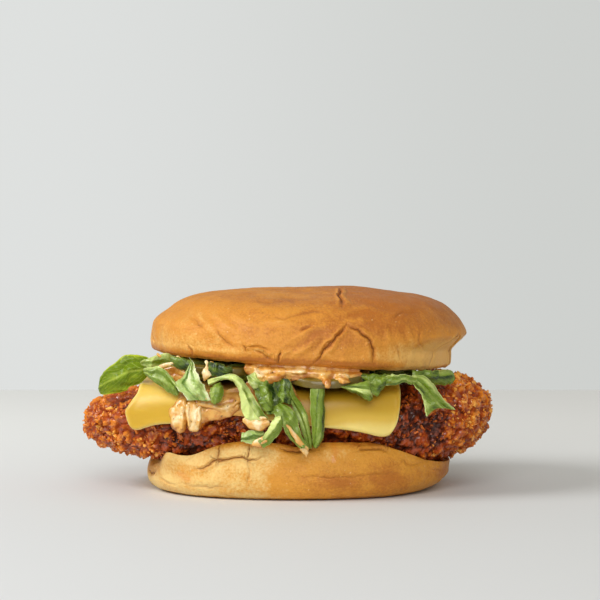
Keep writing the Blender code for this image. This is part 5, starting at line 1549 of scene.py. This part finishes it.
keep(sauce("sauce_layer", (
    ((-12.4, 43.6, 1.5, 0.9, 1.2), (-6.0, 43.1, 1.9, 1.3, 2.6), (0.0, 42.9, 1.7, 1.2, 3.6), (8.0, 42.4, 1.5, 1.0, 4.8), (16.0, 41.9, 1.4, 0.9, 4.8), (22.0, 41.5, 1.3, 0.8, 4.0), (24.6, 41.4, 0.8, 0.5, 3.2)),
    ((-12.0, 45.6, 1.3, 0.7, 0.0), (-6.0, 45.4, 1.6, 1.0, 1.2), (0.0, 45.0, 1.6, 1.0, 2.4), (8.0, 44.4, 1.5, 0.9, 3.4), (16.0, 43.8, 1.4, 0.8, 3.4), (23.0, 43.2, 1.2, 0.6, 2.6)),
    ((-9.6, 42.6, 1.1, 2.2, 1.6), (-8.0, 41.8, 1.0, 2.2, 2.2)), ((2.6, 43.0, 0.8, 1.7, 4.2), (6.0, 42.8, 0.7, 1.6, 4.6)), ((17.6, 42.4, 0.8, 1.5, 4.8), (20.2, 41.4, 0.9, 1.5, 4.6)),
    ((-10.0, 43.6, 1.5, 1.0, 3.4), (-8.6, 42.0, 1.9, 1.4, 4.6), (-5.8, 40.8, 2.0, 1.6, 5.4), (-3.0, 41.2, 1.7, 1.2, 5.6), (-0.8, 42.2, 1.2, 0.9, 5.4)),
    ((12.2, 41.4, 1.4, 0.8, 6.4), (13.2, 40.4, 1.3, 0.6, 8.6), (13.6, 39.5, 1.1, 0.5, 9.3), (13.5, 38.9, 0.9, 0.5, 9.4)),
    ((16.8, 41.0, 1.2, 0.8, 6.6), (18.8, 40.3, 1.4, 0.6, 8.2), (20.4, 40.2, 1.0, 0.5, 8.0)),
    ((21.6, 41.0, 1.1, 0.7, 4.2), (22.4, 40.4, 0.9, 0.6, 4.2)),
    ((1.0, 41.2, 1.3, 0.5, 4.0), (5.4, 41.0, 1.1, 0.45, 4.6)),
    ((-7.6, 42.6, 1.0, 1.9, 2.4), (-5.4, 42.9, 0.9, 1.8, 2.8))),
    413, ((-14.0, 0.26), (-8.5, 0.46), (-3.0, 0.18), (1.5, 0.44), (8.0, 0.44), (12.0, 0.20), (20.5, 0.18), (25.0, 0.26)), lumpy=0.34), "sauce", "sauce_layer")
keep(sauce("sauce_dabs", (
    ((-13.2, 27.4, 0.9, 0.5, 4.6), (-11.2, 25.9, 1.4, 0.7, 4.9), (-8.6, 25.4, 1.5, 0.8, 5.2), (-6.4, 26.2, 1.0, 0.6, 5.0)),
    ((-9.8, 27.2, 0.9, 0.5, 5.0), (-7.4, 28.2, 0.7, 0.4, 5.0)),
    ((-10.4, 19.5, 0.7, 0.6, 4.4), (-8.6, 19.9, 1.3, 0.7, 4.8), (-7.2, 21.2, 1.1, 0.6, 5.0), (-6.6, 22.4, 0.6, 0.4, 5.0)),
    ((0.0, 26.0, 0.4, 0.3, 5.6), (1.8, 23.6, 0.8, 0.4, 5.7), (3.6, 21.0, 1.1, 0.45, 5.7), (5.6, 19.0, 0.9, 0.4, 5.5), (7.0, 17.8, 0.5, 0.3, 5.2)),
    ((5.8, 17.6, 0.9, 0.6, 4.6), (6.8, 16.6, 0.8, 0.6, 4.2), (6.9, 15.9, 0.5, 0.4, 4.0)),
    ((-28.6, 37.2, 0.4, 0.25, 4.6), (-27.4, 35.6, 0.9, 0.3, 4.7), (-26.2, 34.6, 0.8, 0.3, 4.6)),
    ((-43.2, 43.4, 0.5, 0.4, 1.6), (-40.8, 44.3, 0.9, 0.5, 2.0), (-38.4, 44.6, 0.7, 0.4, 1.8)),
    ((-36.0, 47.0, 0.8, 0.5, 0.8), (-34.6, 46.4, 0.6, 0.4, 1.0)),
    ((-43.0, 48.0, 0.5, 0.4, -2.2), (-42.2, 47.4, 0.5, 0.4, -2.0))),
    417, 0.72), "sauce")

# %% [markdown]
# ## The heap of shreds
# Under the top bun lies a heap of shredded leaves. A small core, painted dark as the shade inside
# the heap, fills its middle, where nothing shows, and a ring of loose shreds lies round its rim,
# each curled in its own way.

# %% Heap core
turn = np.arange(160) * 2.0 * math.pi / 160
steps = np.array(((0.3, 0.0), (0.7, 0.0), (0.9, 0.0), (0.96, 0.25), (0.98, 0.5), (0.96, 0.8), (0.9, 1.0), (0.7, 1.0), (0.3, 1.0)))
x, y = oval(turn, 38.5, 40.5, 2.2)
x, y = -1.5 + x * steps[:, :1], 1.0 + y * steps[:, :1]
roof = top_base(x, y) - 0.4
near = np.maximum(
    1.0 - ease(17.0, 24.0, np.hypot(x - 12.6, y + 39.8)), 1.0 - ease(17.0, 24.0, np.hypot(x + 19.5, y + 33.5))
)
z = mix(38.6, mix(roof, 39.4, near), steps[:, 1:])
grid = np.stack([x, y, z], -1)
grid = grid + 0.5 * layered_noise(grid, 5.0, 501, 3)[..., None] * (1.0, 1.0, 0.4)
grid[..., 2] = np.maximum(grid[..., 2], 38.3)
# The core's low tone is painted shade: it stands for the dark inside of the heap.
core = ring_body("lettuce_heap_core", grid, (-1.5, 1.0, 38.6), (-1.5, 1.0, float(grid[-1, :, 2].mean())),
                 {"tone": 0.12 + 0.0 * x}, )
core.data.uv_layers.new(name="leaf_uv")
core.data.materials.append(leaf_skin)
keep(core, "lettuce", "lettuce_bed")

# %% Loose shreds round the heap
rng = np.random.default_rng(77)


def loose_shred(index):
    """A curled strip lying on the heap's rim, as upper and lower grids with values and a map."""
    angle = 2.0 * math.pi * (index + rng.uniform(0.0, 0.9)) / SHREDS
    bx, by = oval(np.array(angle), 42.0, 44.5, 2.2)
    bx, by = -1.5 + bx, 1.0 + by
    reach = rng.uniform(0.86, 1.0)
    spot = np.array((-1.5 + (bx + 1.5) * reach, 1.0 + (by - 1.0) * reach, 0.0))
    room = float(top_base(spot[0], spot[1])) - 39.4
    spot[2] = 39.4 + rng.uniform(0.15, 0.75) * room
    away = np.array((math.cos(angle), math.sin(angle), 0.0))
    heading = angle + math.pi / 2 + rng.uniform(-1.1, 1.1)
    run = np.array((math.cos(heading), math.sin(heading), rng.uniform(-0.16, 0.16)))
    length, wide = rng.uniform(9.0, 20.0), rng.uniform(2.6, 5.0)
    at = np.linspace(-0.5, 0.5, 26)[:, None, None]
    t = np.linspace(-1.0, 1.0, 7)[None, :, None]
    up = np.array((0.0, 0.0, 1.0))
    lean = rng.uniform(-0.9, 0.9)
    side = up * math.cos(lean) + away * math.sin(lean)
    thin = np.cross(run, side)
    thin /= np.linalg.norm(thin)
    width = wide * 0.5 * (1.0 - 1.6 * np.abs(at) ** 3)
    bow = rng.uniform(-3.5, 3.5)
    centre = spot + run * at * length - away * (abs(bow) * at**2 * 2.0) + thin * bow * at**2
    swing = rng.uniform(-1.2, 1.2) * at
    side = side * np.cos(swing) + thin * np.sin(swing)
    curl = rng.uniform(0.2, 0.9)
    surface = centre + side * width * t - thin * curl * wide * 0.5 * t**2
    surface = surface + 0.25 * layered_noise(surface, 3.0, 600 + index, 2)[..., None]
    roof = top_base(surface[..., 0], surface[..., 1]) - 0.5
    surface[..., 2] = np.clip(surface[..., 2], 38.7, roof)
    out = grid_normals(surface, closed=False) * 0.16
    tone = rng.uniform(0.15, 0.6)
    value = np.clip(tone + 0.2 * layered_noise(surface, 4.0, 700 + index, 2) + 0.25 * ease(0.8, 1.0, np.abs(t[..., 0])), 0, 1)
    flat = np.stack([at[..., 0] * length / 16.0 + 0.0 * t[..., 0], 0.5 + 0.5 * t[..., 0] + 0.0 * at[..., 0]], -1)
    return surface + out, surface - out, value, flat


SHREDS = 96
drafts = []
for index in range(SHREDS):
    upper, lower, value, flat = loose_shred(index)
    drafts.append(sheet_body(f"shred_{index}", upper, lower, {"tone": value}, flat))
for draft in drafts:
    face_outwards(draft)


def joined(name, parts, material):
    """One mesh object from several, which are then removed."""
    data = bmesh.new()
    for part in parts:
        data.from_mesh(part.data)
    mesh = bpy.data.meshes.new(name)
    data.to_mesh(mesh)
    data.free()
    for part in parts:
        bpy.data.objects.remove(part)
    mesh.shade_smooth()
    made = bpy.data.objects.new(name, mesh)
    bpy.context.scene.collection.objects.link(made)
    mesh.materials.append(material)
    return made


keep(joined("lettuce_shreds", drafts, leaf_skin), "lettuce")

# %% Dark crumpled shreds in the middle
crumpled = [
    leaf("shred_a", (((-9.0, 40.8), (-3.6, 41.6)), ((-9.4, 38.0), (-2.0, 38.6)), ((-8.8, 35.2), (-1.2, 35.4)), ((-7.6, 32.4), (-1.4, 32.0)), ((-6.6, 29.6), (-2.6, 29.4))),
         (1.0, 2.0, 2.4, 2.6, 2.6), ruffle=1.2, tone=0.24, seed=241, folds=((0.30, 0.9), (0.62, -0.3)), crumple=1.7, columns=56),
    leaf("shred_b", (((-11.0, 38.6), (-7.4, 40.2)), ((-10.0, 35.8), (-5.2, 37.0)), ((-9.0, 33.0), (-4.4, 33.4)), ((-7.6, 30.4), (-4.2, 30.4))),
         (1.6, 2.6, 3.4, 3.8), ruffle=1.0, tone=0.34, seed=243, folds=((0.55, 0.8),), crumple=1.1, columns=44),
    leaf("shred_c", (((-4.6, 41.4), (0.8, 41.0)), ((-4.0, 38.6), (1.6, 38.4)), ((-3.0, 36.0), (1.8, 35.4)), ((-1.6, 33.6), (1.4, 32.6))),
         (1.6, 2.6, 3.2, 3.4), ruffle=1.1, tone=0.26, seed=245, folds=((0.45, 1.0),), crumple=1.3, columns=48),
    leaf("shred_d", (((-13.0, 41.4), (-10.4, 43.0)), ((-12.0, 39.0), (-8.4, 40.4)), ((-10.6, 37.2), (-8.2, 38.2))),
         (1.0, 1.8, 1.8), ruffle=0.6, tone=0.50, seed=247, crumple=0.8),
]
keep(joined("lettuce_dark_shred", crumpled, leaf_skin), "lettuce", "lettuce_dark_shred")

# %% More leaves under the bun, painted dark as its shade
# Low tones paint these shreds dark, as painted shade under the bun.
under_bun = [
    leaf("shred_e", (((24.6, 42.2), (25.4, 39.4)), ((28.4, 42.0), (28.8, 38.2)), ((32.0, 42.0), (32.4, 38.8)), ((35.0, 42.0), (35.0, 40.2))),
         (-0.4, 0.6, 0.4, -0.6), bulge=0.8, ruffle=0.8, tone=0.16, seed=251),
    leaf("shred_f", (((-38.4, 47.4), (-38.0, 44.8)), ((-35.4, 47.2), (-35.6, 43.4)), ((-32.8, 46.6), (-33.4, 43.2)), ((-30.8, 45.8), (-31.4, 44.2))),
         (-3.0, -2.2, -2.0, -2.6), bulge=0.8, ruffle=0.8, tone=0.18, seed=253),
    leaf("shred_g", (((-25.6, 46.0), (-25.8, 42.0)), ((-22.6, 45.6), (-22.6, 41.2)), ((-19.8, 45.0), (-19.8, 41.6)), ((-17.6, 44.2), (-17.8, 42.4))),
         (0.6, 0.8, 0.8, 0.4), bulge=0.4, ruffle=1.0, tone=0.0, seed=255, crumple=0.8, rim_light=0.08, shade=0.08),
    leaf("shred_h", (((26.4, 40.6), (28.0, 36.4)), ((28.6, 41.0), (29.6, 34.8)), ((31.0, 41.2), (31.2, 36.6)), ((33.6, 41.4), (33.2, 38.8))),
         (0.2, 1.0, 1.6, 1.4), bulge=0.9, ruffle=0.5, tone=0.22, seed=257),
    leaf("shred_i", (((41.6, 42.8), (41.8, 39.4)), ((46.0, 42.8), (46.0, 39.6)), ((50.4, 42.4), (50.6, 39.8))),
         (-1.6, -1.2, -1.6), bulge=0.7, ruffle=0.6, tone=0.20, seed=259),
]
keep(joined("lettuce_under_bun", under_bun, leaf_skin), "lettuce")



# %% [markdown]
# ## Floor, light and world
# A pale floor, one soft light from the left and a large weak one from the front. The floor's colour
# is painted lighter to the left and towards the back, as painted light falloff. What the camera sees
# behind the object is a plain wall tone that darkens to the right, also painted light falloff, while
# the light that reaches the object comes from an even sky of its own.

# %% Floor
floor_material, tree, shader, relief, place = new_material("floor", 0.7, 0.02)
depth = add(tree, "ShaderNodeSeparateXYZ", {0: place})
# The floor's colour is painted lighter to the left and towards the back: painted light falloff.
across = spread(tree, depth.outputs[0], -150.0, 150.0)
near_tint = mixed(tree, (0.695, 0.714, 0.732), (0.668, 0.683, 0.690), across)
far_tint = mixed(tree, (0.845, 0.868, 0.872), (0.796, 0.810, 0.808), across)
tint = mixed(tree, near_tint, far_tint, spread(tree, depth.outputs[1], -120.0, 280.0))
tree.links.new(tint, shader.inputs["Base Color"])
bpy.ops.mesh.primitive_plane_add(size=1.0)
floor = bpy.context.object
floor.name = "floor"
floor.data.transform(Matrix.Diagonal((0.86, 0.86, 1.0, 1.0)))
floor.data.materials.append(floor_material)
floor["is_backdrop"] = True


# %% Lights


def area_light(name, spot, aim, size, power, colour):
    light = bpy.data.lights.new(name, "AREA")
    light.shape = "DISK"
    light.size = size
    light.energy = power
    light.color = colour
    thing = bpy.data.objects.new(name, light)
    thing.location = spot
    thing.rotation_euler = (Vector(aim) - Vector(spot)).to_track_quat("-Z", "Y").to_euler()
    bpy.context.scene.collection.objects.link(thing)


area_light("key", (-0.9, -0.35, 0.75), (0.0, 0.0, 0.03), 0.6, 9.5, (0.98, 0.975, 0.97))
area_light("front", (-0.15, -2.6, 1.3), (0.0, 0.0, 0.03), 2.0, 42.0, (0.985, 0.98, 0.975))

# %% World
world = bpy.data.worlds.new("world")
bpy.context.scene.world = world
world.use_nodes = True
tree = world.node_tree
light = tree.nodes["Background"]
light.inputs["Color"].default_value = (1.0, 0.965, 0.875, 1.0)
light.inputs["Strength"].default_value = 0.44
direction = add(tree, "ShaderNodeSeparateXYZ", {0: add(tree, "ShaderNodeTexCoord").outputs["Generated"]})
backdrop = add(tree, "ShaderNodeBackground", {"Strength": 1.0})
# The backdrop the camera sees darkens to the right: painted light falloff.
across = spread(tree, direction.outputs[0], -0.13, 0.13)
tint = mixed(tree, (0.735, 0.750, 0.738), (0.62, 0.635, 0.615), across)
tree.links.new(tint, backdrop.inputs["Color"])
choice = add(tree, "ShaderNodeMixShader", {0: add(tree, "ShaderNodeLightPath").outputs["Is Camera Ray"], 1: light.outputs[0], 2: backdrop.outputs[0]})
tree.links.new(choice.outputs[0], tree.nodes["World Output"].inputs["Surface"])
bpy.context.scene.view_settings.view_transform = "Standard"
bpy.context.scene.view_settings.look = "None"

# %% Sizes
low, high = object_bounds()
print("pieces", len(PIECES))
